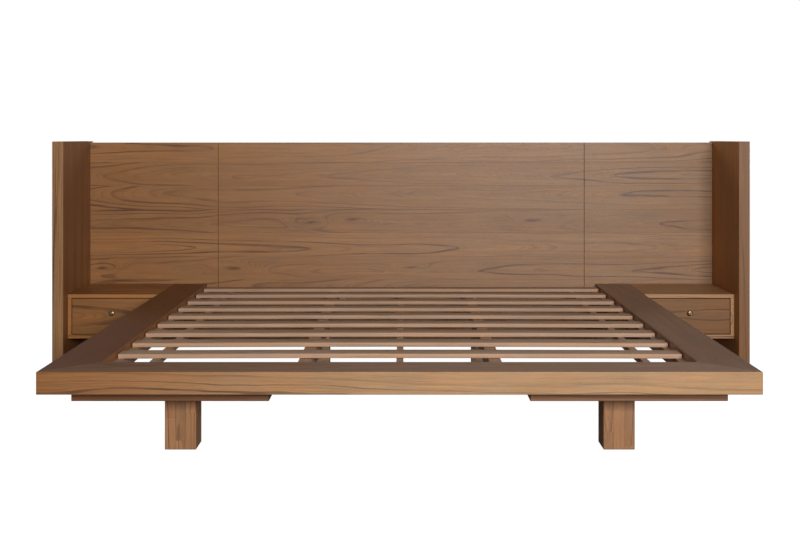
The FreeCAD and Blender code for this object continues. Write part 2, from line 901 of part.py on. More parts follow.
def make_drawer(side_name, side):
    """The drawer: an inset front, two sides, a back and a bottom let into grooves all round."""
    face = nightstand_face()
    low = drawer_low()
    clear = size.nightstand_board + size.drawer_gap
    front_width = size.nightstand_width - 2 * clear
    front_height = size.nightstand_height - 2 * clear
    front_start = rail_outer + size.nightstand_gap + clear
    name = side_name + "_drawer"

    box_near = rail_outer + size.nightstand_gap + size.nightstand_board + size.slide_space
    box_width = size.nightstand_width - 2 * (size.nightstand_board + size.slide_space)
    box_low = low + size.drawer_box_lift
    box_front = face + size.drawer_front_thickness
    wall = size.drawer_side_thickness
    inner_width = box_width - 2 * wall

    groove = size.drawer_groove_depth
    bottom_width = inner_width + 2 * groove
    bottom_length = size.drawer_box_depth - wall + 2 * groove
    bottom_extent = (bottom_width, bottom_length, size.drawer_bottom_thickness)
    bottom_at = (beside(side, box_near + wall - groove, bottom_width), box_front - groove,
                 box_low + size.drawer_bottom_lift)
    bottom = keep(board(name + "_bottom", bottom_extent, bottom_at), name + "_bottom")

    middle = front_start + front_width / 2
    knob_height = low + front_height / 2 + size.knob_rise
    knob = make_knob(side_name, side * middle, face, knob_height)
    front_extent = (front_width, size.drawer_front_thickness, front_height)
    front_at = (beside(side, front_start, front_width), face, low)
    front = board(name + "_front", front_extent, front_at, size.board_round)
    keep(without(name + "_front", front, bottom, knob), name + "_front")

    box_height = size.drawer_box_height
    for spot, start in (("inner", box_near), ("outer", box_near + box_width - wall)):
        label = name + "_" + spot + "_side"
        at = (beside(side, start, wall), box_front, box_low)
        blank = board(label, (wall, size.drawer_box_depth, box_height), at)
        keep(without(label, blank, bottom), label)
    back_at = (beside(side, box_near + wall, inner_width), box_front + size.drawer_box_depth - wall, box_low)
    back = board(name + "_back", (inner_width, wall, box_height), back_at)
    keep(without(name + "_back", back, bottom), name + "_back")


def make_slides(side_name, side):
    """Lipped channels fixed to the carcass, and the bars on the drawer that run inside them."""
    wall = size.slide_wall
    play = size.slide_play
    depth = size.slide_space - play
    height = size.slide_height
    start = nightstand_face() + size.drawer_front_thickness + size.slide_setback
    middle = drawer_low() + size.drawer_box_lift + size.drawer_box_height / 2
    cavity_height = height - 2 * wall
    slot_height = cavity_height - 2 * size.slide_lip
    bar_depth = depth - 2 * (wall + play)
    bar_height = cavity_height - 2 * play
    neck_height = slot_height - 2 * play
    inner_wall = rail_outer + size.nightstand_gap + size.nightstand_board
    outer_wall = inner_wall + size.nightstand_width - 2 * size.nightstand_board
    channels = []
    bars = []
    for spot, board_face, away in (("inner", inner_wall, 1), ("outer", outer_wall, -1)):
        def from_board(offset, thickness):
            near = board_face + offset if away > 0 else board_face - offset - thickness
            return beside(side, near, thickness)

        def strip(part_name, offset, thickness, tall):
            return block(part_name, (thickness, size.slide_length, tall),
                         (from_board(offset, thickness), start, middle - tall / 2))

        name = side_name + "_" + spot
        outer = strip(name + "_channel_outer", Size.of(0), depth, height)
        cavity = strip(name + "_channel_cavity", wall, depth - 2 * wall, cavity_height)
        slot = strip(name + "_channel_slot", wall, depth - wall, slot_height)
        channels.append(without(name + "_channel", outer, cavity, slot))
        bar = strip(name + "_bar", wall + play, bar_depth, bar_height)
        neck_depth = size.slide_space - wall - play
        neck = strip(name + "_bar_neck", wall + play, neck_depth, neck_height)
        bars.append(join(name + "_slide_bar", bar, neck))
    keep(group(side_name + "_channel_group", channels), side_name + "_drawer_runners")
    keep(group(side_name + "_bar_group", bars), side_name + "_drawer_slides")


# ---------------------------------------------------------------- assembly

def build():
    rail_bolts = make_rail_bolts()
    cross_bolts = make_cross_rail_bolts()
    panel_screws = make_panel_screws()
    wing_bolts = {name: make_wing_bolts(name, side) for name, side in SIDES.items()}
    support_bolts = {name: make_support_leg_bolt(name, side) for name, side in SIDES.items()}
    leg_bolts = {name: make_leg_bolts(name, side) for name, side in SIDES.items()}
    ledge_screws = {name: make_ledge_screws(name, side) for name, side in SIDES.items()}
    plank_screws = {name: make_plank_screws(name, side) for name, side in SIDES.items()}
    bracket_screws = {name: make_bracket_screws(name, side) for name, side in SIDES.items()}
    carcass_bolts = {
        (name, wall): make_nightstand_bolts(name, side, wall)
        for name, side in SIDES.items()
        for wall in ("inner", "outer")
    }
    hanger_screws = {
        (name, end): make_hanger_screws(name, side, end)
        for name, side in SIDES.items()
        for end in ("foot", "head")
    }

    rail_bolt_tool = keep(group("rail_bolt_group", rail_bolts), "rail_bolts")
    cross_bolt_tool = group("cross_bolt_group", cross_bolts)
    panel_screw_tool = group("panel_screw_group", panel_screws)
    all_wing_bolts = wing_bolts["left"] + wing_bolts["right"]
    wing_bolt_tool = group("wing_bolt_group", all_wing_bolts)

    make_slat_deck()
    foot_screws = []
    head_screws = []
    hangers = []
    brackets = []
    for name, side in SIDES.items():
        ledge_tool = group(name + "_ledge_screw_group", ledge_screws[name])
        plank_tool = group(name + "_plank_screw_group", plank_screws[name])
        bracket_tool = group(name + "_bracket_screw_group", bracket_screws[name])
        leg_bolt_tool = group(name + "_leg_bolt_group", leg_bolts[name])
        inner_tool = group(name + "_inner_bolt_group", carcass_bolts[name, "inner"])
        outer_tool = group(name + "_outer_bolt_group", carcass_bolts[name, "outer"])
        make_ledge(name, side, ledge_tool)
        make_support(name, side, support_bolts[name])
        make_side_rail(name, side, ledge_tool, plank_tool, bracket_tool, inner_tool, rail_bolt_tool)
        make_foot(name, side, plank_tool, leg_bolt_tool)
        make_wing(name, side, wing_bolt_tool, outer_tool)
        make_nightstand(name, side, inner_tool, outer_tool)
        make_drawer(name, side)
        make_slides(name, side)
        brackets.append(make_corner_bracket(name, side, bracket_tool))
        for end in ("foot", "head"):
            tool = group(name + "_" + end + "_hanger_screw_group", hanger_screws[name, end])
            hangers.append(make_hanger(name, side, end, tool))
            (foot_screws if end == "foot" else head_screws).append(tool)
        foot_screws += [plank_tool, bracket_tool]

    make_front_rail(*foot_screws)
    make_cross_rail(cross_bolt_tool, *head_screws)
    make_panels(rail_bolt_tool, cross_bolt_tool, panel_screw_tool)
    make_back_frame((rail_bolt_tool, cross_bolt_tool, panel_screw_tool), wing_bolt_tool)
    make_glides()

    keep(group("bracket_group", brackets), "corner_brackets")
    keep(group("hanger_group", hangers), "beam_hangers")
    joint_bolts = cross_bolts + all_wing_bolts + list(support_bolts.values())
    keep(group("joint_bolt_group", joint_bolts), "joint_bolts")
    keep(group("leg_bolts_group", leg_bolts["left"] + leg_bolts["right"]), "leg_bolts")
    keep(group("carcass_bolt_group", sum(carcass_bolts.values(), [])), "nightstand_bolts")
    frame_screws = panel_screws + sum(ledge_screws.values(), []) + sum(plank_screws.values(), [])
    keep(group("frame_screw_group", frame_screws), "frame_screws")
    small_screws = sum(bracket_screws.values(), []) + sum(hanger_screws.values(), [])
    keep(group("bracket_screws_group", small_screws), "bracket_screws")


def check():
    """Stops before anything is written if an object failed or a sub-part isn't sound."""
    for thing in doc.Objects:
        if "Invalid" in thing.State or "Error" in thing.State:
            raise RuntimeError(thing.Name + " failed: " + str(thing.State))
    for label, thing in nodes.items():
        shape = thing.Shape
        if shape.isNull() or not shape.isValid() or not shape.Solids:
            raise RuntimeError(label + " has no sound shape")


build()
doc.recompute()
check()
os.makedirs("parts", exist_ok=True)
for label, thing in nodes.items():
    thing.Shape.exportStep("parts/" + label + ".step")
print(len(nodes), "nodes,", sum(len(thing.Shape.Solids) for thing in nodes.values()), "solids")
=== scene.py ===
"""Looks of a low timber platform bed with a winged, panelled headboard.

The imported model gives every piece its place. This script gives the timber its growth rings,
fibres and pores, remakes the slats, screws and bolts in finer detail, and sets up the studio.
"""

import logging
import math
import random
from dataclasses import dataclass
from enum import Enum

import bmesh
import bpy
import numpy as np
from bpy.types import ID, Material, Mesh, Node, NodeSocket, NodeTree, Object
from mathutils import Matrix, Vector


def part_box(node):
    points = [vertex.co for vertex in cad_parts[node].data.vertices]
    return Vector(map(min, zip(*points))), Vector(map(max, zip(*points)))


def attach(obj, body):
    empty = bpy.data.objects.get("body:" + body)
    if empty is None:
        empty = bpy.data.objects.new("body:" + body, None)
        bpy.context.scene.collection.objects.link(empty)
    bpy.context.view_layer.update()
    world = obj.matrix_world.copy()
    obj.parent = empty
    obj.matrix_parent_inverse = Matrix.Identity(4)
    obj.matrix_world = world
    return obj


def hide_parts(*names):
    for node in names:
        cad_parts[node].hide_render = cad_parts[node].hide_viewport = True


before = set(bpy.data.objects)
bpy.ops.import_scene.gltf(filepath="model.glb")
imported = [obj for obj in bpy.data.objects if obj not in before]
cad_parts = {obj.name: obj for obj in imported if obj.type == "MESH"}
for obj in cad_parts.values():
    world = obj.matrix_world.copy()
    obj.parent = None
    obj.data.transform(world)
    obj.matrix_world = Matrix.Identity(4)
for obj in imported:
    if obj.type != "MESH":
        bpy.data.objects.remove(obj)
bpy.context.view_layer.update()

log = logging.getLogger("platform_bed")

Colour = tuple[float, float, float]
Value = object

SIDES = ("left", "right")
UNSPLIT = 1000.0  # Stave, run or layer size of a piece that isn't glued up, in metres.
LIPPING = 0.005  # Thickness of the lipping on a wing's front edge, in metres.
FLOAT, VECTOR, COLOR = "NodeSocketFloat", "NodeSocketVector", "NodeSocketColor"
INTEGER, GEOMETRY, MATERIAL = "NodeSocketInt", "NodeSocketGeometry", "NodeSocketMaterial"
SHARP_ANGLE = 35.0  # Edges that turn by more than this many degrees stay sharp.
WHITE = (1.0, 1.0, 1.0, 1.0)
MIDDLE = (0.5, 0.5, 0.5)


# ---- node graphs


class Field:
    """A value that flows through a node graph; arithmetic on it adds Math nodes."""

    def __init__(self, graph: "Graph", socket: NodeSocket) -> None:
        """Keeps the output socket that the value comes from."""
        self.graph, self.socket = graph, socket

    def __add__(self, other: Value) -> "Field":
        return self.graph.math("ADD", self, other)

    def __sub__(self, other: Value) -> "Field":
        return self.graph.math("SUBTRACT", self, other)

    def __rsub__(self, other: Value) -> "Field":
        return self.graph.math("SUBTRACT", other, self)

    def __mul__(self, other: Value) -> "Field":
        return self.graph.math("MULTIPLY", self, other)

    def __truediv__(self, other: Value) -> "Field":
        return self.graph.math("DIVIDE", self, other)


class Graph:
    """A node tree in the making, with short calls for the nodes that recur."""

    def __init__(self, tree: NodeTree) -> None:
        """Keeps the tree that the nodes go into."""
        self.tree = tree

    def feed(self, socket: NodeSocket, value: Value) -> None:
        """Links or sets one input.

        Args:
            socket: The input to fill.
            value: A field, an output socket, a node whose first output is meant, or a number.
        """
        value = value.socket if isinstance(value, Field) else value
        if isinstance(value, NodeSocket):
            self.tree.links.new(value, socket)
        elif isinstance(value, Node):
            self.tree.links.new(value.outputs[0], socket)
        else:
            socket.default_value = value

    def add(self, kind: str, inputs: dict | None = None, **settings: Value) -> Node:
        """Adds one node.

        Args:
            kind: The node's Blender type.
            inputs: Values by input name or number.
            settings: The node's own properties.

        Returns:
            The new node.
        """
        node = self.tree.nodes.new(kind)
        for name, value in settings.items():
            setattr(node, name, value)
        for key, value in (inputs or {}).items():
            self.feed(node.inputs[key], value)
        return node

    def get(self, output: int | str, kind: str, inputs: dict | None = None,
            **settings: Value) -> Field:
        """Adds one node and gives the named or numbered one of its outputs."""
        return Field(self, self.add(kind, inputs, **settings).outputs[output])

    def math(self, operation: str, *values: Value, clamp: bool = False) -> Field:
        """A Math node's result for one, two or three values."""
        return self.get(0, "ShaderNodeMath", dict(enumerate(values)), operation=operation,
                        use_clamp=clamp)

    def vector(self, operation: str, *values: Value) -> Field:
        """A Vector Math node's vector result."""
        return self.get("Vector", "ShaderNodeVectorMath", dict(enumerate(values)),
                        operation=operation)

    def scale(self, value: Value, factor: Value) -> Field:
        """A vector times a number."""
        return self.get("Vector", "ShaderNodeVectorMath", {0: value, "Scale": factor},
                        operation="SCALE")

    def length(self, value: Value) -> Field:
        """The length of a vector."""
        return self.get("Value", "ShaderNodeVectorMath", {0: value}, operation="LENGTH")

    def combine(self, x: Value, y: Value, z: Value) -> Field:
        """A vector from three numbers."""
        return self.get(0, "ShaderNodeCombineXYZ", {0: x, 1: y, 2: z})

    def split(self, value: Value) -> tuple[Field, ...]:
        """The three numbers of a vector."""
        node = self.add("ShaderNodeSeparateXYZ", {0: value})
        return tuple(Field(self, socket) for socket in node.outputs)

    def step(self, value: Value, low: float, high: float, bottom: float = 0.0,
             top: float = 1.0) -> Field:
        """A smooth step from bottom to top as the value goes from low to high."""
        return self.get(
            0, "ShaderNodeMapRange",
            {"Value": value, "From Min": low, "From Max": high, "To Min": bottom, "To Max": top},
            interpolation_type="SMOOTHSTEP")

    def noise(self, place: Value, scale: float, detail: float = 2.0, rough: float = 0.5,
              output: str = "Fac") -> Field:
        """A Noise Texture's Fac or Color."""
        inputs = {"Vector": place, "Scale": scale, "Detail": detail, "Roughness": rough}
        return self.get(output, "ShaderNodeTexNoise", inputs)

    def chance(self, number: Value) -> Field:
        """A random value from 0 to 1 that goes with a number."""
        return self.get("Value", "ShaderNodeTexWhiteNoise", {"W": number},
                        noise_dimensions="1D")

    def mix(self, factor: Value, first: Value, second: Value, blend: str = "MIX") -> Field:
        """Two colours mixed by a factor."""
        return self.get(2, "ShaderNodeMix", {0: factor, 6: first, 7: second},
                        data_type="RGBA", blend_type=blend)

    def store(self, geometry: Value, name: str, value: Value, domain: str = "POINT",
              kind: str = "FLOAT_VECTOR") -> Node:
        """Stores a named attribute on a geometry."""
        return self.add("GeometryNodeStoreNamedAttribute", {
            "Geometry": geometry, "Name": name, "Value": value}, data_type=kind, domain=domain)

    def named(self, name: str) -> Field:
        """Reads a named vector attribute."""
        return self.get(0, "GeometryNodeInputNamedAttribute", {"Name": name},
                        data_type="FLOAT_VECTOR")


def new_group(name: str, kind: str, inputs: dict[str, str],
              outputs: dict[str, str]) -> tuple[Graph, dict[str, Field], Node]:
    """Starts a node group.

    Args:
        name: The group's name.
        kind: ShaderNodeTree or GeometryNodeTree.
        inputs: The names of its inputs, by socket type.
        outputs: The names of its outputs, by socket type.

    Returns:
        The graph, its inputs by name and its output node.
    """
    tree = bpy.data.node_groups.new(name, kind)
    for way, sockets in (("INPUT", inputs), ("OUTPUT", outputs)):
        for socket_type, labels in sockets.items():
            for label in labels.split():
                tree.interface.new_socket(name=label, in_out=way, socket_type=socket_type)
    graph = Graph(tree)
    given = graph.add("NodeGroupInput").outputs
    fields = {socket.name: Field(graph, socket) for socket in given if socket.name}
    return graph, fields, graph.add("NodeGroupOutput")


def emptied(owner: ID) -> Graph:
    """The empty node graph of a material or a world."""
    owner.use_nodes = True
    owner.node_tree.nodes.clear()
    return Graph(owner.node_tree)


def for_camera(graph: Graph, seen: Value, unseen: Value) -> Node:
    """Mixes two shaders: the camera sees one, and all other rays meet the other."""
    ray = graph.get("Is Camera Ray", "ShaderNodeLightPath")
    return graph.add("ShaderNodeMixShader", {0: ray, 1: unseen, 2: seen})


def show(name: str, data: ID) -> Object:
    """Puts a new object with this data into the scene."""
    shown = bpy.data.objects.new(name, data)
    bpy.context.scene.collection.objects.link(shown)
    return shown


# ---- timber


class Lie(Enum):
    """How a board was cut: the world axes of its fibres, its width and its face."""

    FLAT_ACROSS = "xyz"
    FLAT_LENGTHWISE = "yxz"
    STANDING_ACROSS = "xzy"
    UPRIGHT_FACING_FOOT = "zxy"
    UPRIGHT_FACING_SIDE = "zyx"
    STANDING_LENGTHWISE = "yzx"

    def turn(self) -> Matrix:
        """The rotation that lays fibres along X, width along Y and the face along Z."""
        rows = [[float(axis == letter) for letter in "xyz"] for axis in self.value]
        turned = Matrix(rows)
        if turned.determinant() < 0:
            turned[2] = -turned[2]
        return turned


@dataclass(frozen=True)
class TimberFinish:
    """One stained and lacquered timber.

    Attributes:
        name: The finish's name, which starts its materials' names.
        pale: Colour of the early wood.
        deep: Colour of the late wood's lines.
        ring: Thickness of one year's growth, in metres.
        line: How strongly the late wood shows, from 0 to 1.
        wander: How far the rings stray from round, in metres.
        rough: The lacquer's middle roughness.
        coat: Weight of the clear coat.
    """

    name: str
    pale: Colour
    deep: Colour
    ring: float
    line: float
    wander: float
    rough: float = 0.5
    coat: float = 0.05


class Fade(Enum):
    """Where a piece's second tint shows."""

    # Painted light: the piece grows lighter and greyer to the right, for the key light's sheen
    # from that side.
    PAINTED_LIGHT_TO_RIGHT = "to the right"
    AT_FRONT = "on the lipping of its front edge"


@dataclass(frozen=True)
class Cut:
    """Where in the log a piece was cut from.

    Attributes:
        lie: The directions of its fibres, width and face.
        depth: Distance of the pith behind the face, in metres.
        taper: How fast that distance changes along the fibres.
        stave: Width of the staves glued into it, in metres.
        run: Length of each stave, in metres.
        scatter: How far the staves' piths differ, in metres.
        patch: How much the staves differ in tone.
        ply: Thickness of the layers glued into it, in metres.
        tint: What the colours are multiplied by.
        second: What they are multiplied by elsewhere, if that differs: towards the right it is
            painted light, and on a wing's front edge it is the lipping's own tone.
        fade: Where the second tint shows.
        reach: Where along X the second tint starts and is full.
        top: What the colour is multiplied by on faces that look up: painted shade and painted
            cool sky light on the tops.
        seed: Changes every random choice.
    """

    lie: Lie
    depth: float = 0.05
    taper: float = 0.02
    stave: float = UNSPLIT
    run: float = UNSPLIT
    scatter: float = 0.0
    patch: float = 0.0
    ply: float = UNSPLIT
    tint: Colour = (1.0, 1.0, 1.0)
    second: Colour | None = None
    fade: Fade = Fade.PAINTED_LIGHT_TO_RIGHT
    reach: tuple[float, float] = (-1.5, 1.3)
    top: Colour | None = None
    seed: int = 0


@dataclass(frozen=True)
class Swirl:
    """A place where the rings bulge round a knot: its x and z on the headboard, and its size."""

    x: float
    z: float
    wide: float
    high: float
    rise: float


def stained(colour: Colour, tint: Colour) -> tuple[float, float, float, float]:
    """A colour multiplied by a tint, as a node's colour value."""
    return (*(part * share for part, share in zip(colour, tint)), 1.0)


class Season:
    """Smooth steps over one year's growth, 0 to 1: from, to, value before and value after."""

    LATE_ON_SLOPE = (0.69, 0.82)
    LATE_AT_TIP = (0.88, 0.94, 0.0, 0.70)
    YEAR_END = (0.965, 1.0, 1.0, 0.0)
    STRONG_YEAR = (0.20, 0.90, 0.10, 1.0)
    MINOR_START = (0.45, 0.95)
    MINOR_END = (0.95, 1.0, 1.0, 0.0)
    EARLY = (0.0, 0.75, 1.0, 0.25)


class Weight:
    """How much each pattern counts in the wood's tone, sheen and relief."""

    STREAK_TONE, MOTTLE_TONE, FIBRE_TONE = 0.52, 0.55, 0.40
    BROAD_LATE, SHARP_LATE = 0.22, 0.72
    PORE_COLOUR, SEAM_COLOUR, EDGE_COLOUR = 0.42, 0.45, 0.30
    FIBRE_GLOSS, PORE_GLOSS, LATE_GLOSS, EDGE_GLOSS = 0.22, 0.12, 0.06, 0.08
    FIBRE_HEIGHT, LATE_HEIGHT, SEAM_HEIGHT = 0.35, 0.25, 1.2
    HEART = 0.75


class Scale:
    """Sizes of the wood's patterns, per metre."""

    BEND, RIPPLE, FADING = 5.0, 26.0, 9.0
    UNEVEN_YEARS = 38.0
    FIBRES, STREAKS, MOTTLE, PORES, WARMTH = 760.0, 95.0, 8.0, 1150.0, 13.0
    EDGE_WEAR, KNOT_SHAKE = 90.0, 11.0


class TimberShader:
    """The node groups that every timber material shares."""

    def __init__(self) -> None:
        """Builds both groups."""
        self.edge = self.build_edge()
        self.wood = self.build_wood()

    def build_edge(self) -> NodeTree:
        """A mask of a box-shaped piece's edges.

        Returns:
            A group that is 1 at the edges and fades within a few millimetres.
        """
        graph, get, result = new_group(
            "eased_edge", "ShaderNodeTree", {VECTOR: "Place Centre Half"}, {FLOAT: "Edge"})
        away = graph.vector("ABSOLUTE", graph.vector("SUBTRACT", get["Place"], get["Centre"]))
        x, y, z = graph.split(graph.vector("SUBTRACT", get["Half"], away))
        least = graph.math("MINIMUM", graph.math("MINIMUM", x, y), z)
        most = graph.math("MAXIMUM", graph.math("MAXIMUM", x, y), z)
        middle = x + y + z - least - most
        widest = 0.006
        reach = (graph.noise(get["Place"], Scale.EDGE_WEAR) + 0.2) * widest
        graph.feed(result.inputs[0], 1.0 - graph.step(middle / reach, 0.15, 1.0))
        return graph.tree

    def build_wood(self) -> NodeTree:
        """Solid wood: rings round a wandering pith, fibres, pores and glued staves.

        Returns:
            A group with the colour, roughness and height of the surface.
        """
        graph, get, result = new_group(
            "solid_timber", "ShaderNodeTree",
            {VECTOR: "Place Pith", COLOR: "Pale Deep",
             FLOAT: "Taper Ring Wander Line Stave Run Ply Scatter Patch Swell Seed Edge Rough"},
            {COLOR: "Color", FLOAT: "Roughness Height"})

        def floor(value: Value) -> Field:
            """The whole number below a value."""
            return graph.math("FLOOR", value)

        def to_whole(value: Field) -> Field:
            """How far a value is from the nearest whole number."""
            return 0.5 - graph.math("ABSOLUTE", graph.math("FRACT", value) - 0.5)

        def drawn_out(share: float) -> Field:
            """The place in the fibres, with lengths shortened to this share."""
            return graph.vector("MULTIPLY", fibre_place, (share, 1.0, 1.0))

        # Staves, their runs and their layers; each piece of wood has its own random numbers.
        x, y, z = graph.split(get["Place"])
        seed = get["Seed"]
        across = y / get["Stave"] + 0.5
        stave = floor(across)
        along = x / get["Run"] + graph.chance(stave + seed)
        layers_apart, slide = 17.0, 9.0
        course = floor(along) + floor(z / get["Ply"] + 0.5) * layers_apart
        piece = graph.add(
            "ShaderNodeTexWhiteNoise", {"Vector": graph.combine(stave, course, seed)})
        own = Field(graph, piece.outputs["Value"])
        pick = graph.split(piece.outputs["Color"])
        wide = y - stave * get["Stave"]
        fibre_place = graph.combine(x + pick[0] * slide, wide, z + seed)

        # The distance from a pith that wanders and runs at a slant.
        slow = graph.noise(drawn_out(0.30), Scale.BEND, 1.0, output="Color")
        fine = graph.noise(drawn_out(0.22), Scale.RIPPLE, output="Color")
        ripple = graph.scale(graph.vector("SUBTRACT", fine, MIDDLE), 0.16)
        stray = graph.scale(
            graph.vector("ADD", graph.vector("SUBTRACT", slow, MIDDLE), ripple),
            get["Wander"] * 2.0)
        _, stray_y, stray_z = graph.split(stray)
        pith = graph.split(get["Pith"])
        upside = graph.math("SIGN", own - 0.5)
        lean = (x - pith[0]) * get["Taper"] * upside
        beside = wide + (pick[1] - 0.5) * get["Scatter"] - pith[1] + stray_y
        below = z + (pick[2] - 0.5) * get["Scatter"] - pith[2] + lean + stray_z
        radius = graph.length(graph.combine(0.0, beside, below))
        on_slope = graph.step(graph.math("ABSOLUTE", beside) / radius, 0.02, 0.30)
        radius = radius + get["Swell"]

        # Late wood: a dark line at the end of each year, thinner where a ring's tip shows.
        uneven = graph.get("Fac", "ShaderNodeTexNoise", {
            "W": radius * Scale.UNEVEN_YEARS + seed, "Scale": 1.0}, noise_dimensions="1D")
        years = radius / get["Ring"] + uneven * 1.4
        season = graph.math("FRACT", years)
        strength = graph.step(graph.chance(floor(years) + seed), *Season.STRONG_YEAR)
        broad = graph.math("POWER", season, 2.6) * Weight.BROAD_LATE
        at_tip = graph.step(season, *Season.LATE_AT_TIP)
        on_side = graph.step(season, *Season.LATE_ON_SLOPE)
        sharp = (at_tip + on_slope * (on_side - at_tip)) * Weight.SHARP_LATE
        fading = graph.noise(drawn_out(0.5), Scale.FADING)
        late = (broad + sharp) * graph.step(season, *Season.YEAR_END) * (
            strength * graph.step(fading, 0.25, 0.65, 0.35, 1.0))
        within = graph.math("FRACT", years * 3.7)
        minor = (graph.step(within, *Season.MINOR_START) * graph.step(within, *Season.MINOR_END)
                 * graph.step(fading, 0.35, 0.70, 0.30, 0.04))
        late = graph.math("MAXIMUM", late, minor)

        # Fibres, streaks, pores and the seams between staves.
        fibre = graph.noise(drawn_out(0.030), Scale.FIBRES, 3.0, 0.6)
        streak = graph.noise(drawn_out(0.030), Scale.STREAKS, 3.0, 0.55)
        mottle = graph.noise(drawn_out(0.35), Scale.MOTTLE, 3.0)
        dashes = graph.noise(drawn_out(0.10), Scale.PORES, 1.0)
        pores = graph.step(dashes, 0.61, 0.72) * graph.step(season, *Season.EARLY)
        to_seam = graph.math("MINIMUM", to_whole(across) * get["Stave"],
                             to_whole(along) * get["Run"])
        seam = graph.step(to_seam, 0.0002, 0.0009, 1.0, 0.0)

        tone = ((streak - 0.5) * Weight.STREAK_TONE + (mottle - 0.5) * Weight.MOTTLE_TONE
                + (fibre - 0.5) * Weight.FIBRE_TONE)
        bright = tone + (own - 0.5) * get["Patch"] + 1.0
        deep = get["Deep"]
        colour = graph.mix(graph.math("MULTIPLY", late, get["Line"], clamp=True),
                           get["Pale"], deep)
        colour = graph.mix(graph.step(mottle, 0.42, 0.72, 0.0, 0.55), colour,
                           graph.mix(0.50, colour, deep))
        warmth = graph.noise(drawn_out(0.45), Scale.WARMTH)
        colour = graph.mix(graph.step(warmth, 0.36, 0.66, 0.0, 0.8), colour,
                           graph.mix(1.0, colour, (1.06, 0.99, 0.86, 1.0), "MULTIPLY"))
        colour = graph.mix(pores * Weight.PORE_COLOUR, colour, deep)
        colour = graph.mix(1.0, colour, graph.combine(bright, bright, bright), "MULTIPLY")
        colour = graph.mix(seam * Weight.SEAM_COLOUR, colour, deep)
        colour = graph.mix(get["Edge"] * Weight.EDGE_COLOUR, colour,
                           graph.mix(0.35, deep, get["Pale"]))
        graph.feed(result.inputs["Color"], colour)

        gloss = ((fibre - 0.5) * Weight.FIBRE_GLOSS + pores * Weight.PORE_GLOSS
                 - late * Weight.LATE_GLOSS - get["Edge"] * Weight.EDGE_GLOSS)
        graph.feed(result.inputs["Roughness"],
                   graph.math("ADD", get["Rough"], gloss, clamp=True))
        graph.feed(result.inputs["Height"], fibre * Weight.FIBRE_HEIGHT - pores
                   - late * Weight.LATE_HEIGHT - seam * Weight.SEAM_HEIGHT)
        return graph.tree

    def begin(self, name: str) -> tuple[Material, Graph, Node]:
        """An empty node material.

        Args:
            name: The material's name.

        Returns:
            The material, its graph and its surface shader.
        """
        material = bpy.data.materials.new(name)
        graph = emptied(material)
        surface = graph.add("ShaderNodeBsdfPrincipled")
        graph.add("ShaderNodeOutputMaterial", {"Surface": surface})
        return material, graph, surface

    def material(self, piece: str, finish: TimberFinish, cut: Cut, box: tuple[Vector, Vector],
                 swirls: tuple[Swirl, ...] = (), attribute: str = "") -> Material:
        """The material of one timber piece.

        Args:
            piece: The piece's name.
            finish: Its colours and sheen.
            cut: Where in the log it comes from.
            box: Its lowest and highest corner.
            swirls: Places where the rings bulge.
            attribute: A vector attribute that holds the place in each board, if the piece has
                one; otherwise the object's own coordinates are used.

        Returns:
            The new material.
        """
        chance = random.Random(f"{piece}-{cut.seed}")
        material, graph, surface = self.begin(f"{finish.name}_{piece}")
        centre = (box[0] + box[1]) / 2
        half = (box[1] - box[0]) / 2
        turn = cut.lie.turn()
        if attribute:
            place = laid = graph.get("Vector", "ShaderNodeAttribute", attribute_name=attribute)
            edge = graph.get("Fac", "ShaderNodeAttribute", attribute_name="edge")
        else:
            place = graph.get("Object", "ShaderNodeTexCoord")
            edge = graph.add("ShaderNodeGroup", node_tree=self.edge)
            for label, value in (("Place", place), ("Centre", centre), ("Half", half)):
                graph.feed(edge.inputs[label], value)
            laid = graph.get(0, "ShaderNodeMapping", {
                "Vector": place, "Location": -(turn @ centre), "Rotation": turn.to_euler()})
        wood = graph.add("ShaderNodeGroup", node_tree=self.wood)
        offset = chance.uniform(-0.35, 0.35) * min(abs((turn @ half)[1]), 0.06)
        values = {
            "Place": laid,
            "Pith": (chance.uniform(-0.5, 0.5), offset, -cut.depth * chance.uniform(0.8, 1.25)),
            "Taper": cut.taper * chance.choice((-1.0, 1.0)),
            "Seed": chance.uniform(0.0, 40.0), "Edge": edge,
            "Pale": stained(finish.pale, cut.tint), "Deep": stained(finish.deep, cut.tint),
        }
        for source, labels in ((finish, ("Ring", "Wander", "Line", "Rough")),
                               (cut, ("Stave", "Run", "Ply", "Scatter", "Patch"))):
            values |= {label: getattr(source, label.lower()) for label in labels}
        # The second tint: to the right it is painted light, the key light's sheen; at the front
        # it is the lipping's own tone.
        if cut.second:
            x, y, _ = graph.split(place)
            front = box[0].y + LIPPING
            share = (graph.step(x, *cut.reach) if cut.fade is Fade.PAINTED_LIGHT_TO_RIGHT
                     else graph.step(y, front, front + 0.0004, 1.0, 0.0))
            for label, colour in (("Pale", finish.pale), ("Deep", finish.deep)):
                values[label] = graph.mix(share, values[label], stained(colour, cut.second))
        # Painted light: faces that look up get their own tint, for the shade and cool sky light
        # on the tops.
        if cut.top:
            up = graph.step(graph.split(graph.get("Normal", "ShaderNodeNewGeometry"))[2],
                            0.6, 0.95)
            for label in ("Pale", "Deep"):
                values[label] = graph.mix(up, values[label], graph.mix(
                    1.0, values[label], (*cut.top, 1.0), "MULTIPLY"))
        if swirls:
            values["Swell"], heart = self.swell(graph, place, swirls)
            values["Pale"] = graph.mix(heart, values["Pale"], values["Deep"])
        for label, value in values.items():
            graph.feed(wood.inputs[label], value)
        graph.feed(surface.inputs["Base Color"], wood.outputs["Color"])
        graph.feed(surface.inputs["Roughness"], wood.outputs["Roughness"])
        surface.inputs["Coat Weight"].default_value = finish.coat
        surface.inputs["Coat Roughness"].default_value = 0.35
        graph.feed(surface.inputs["Normal"], graph.add("ShaderNodeBump", {
            "Strength": 0.35, "Distance": 0.0006, "Height": wood.outputs["Height"]}))
        return material

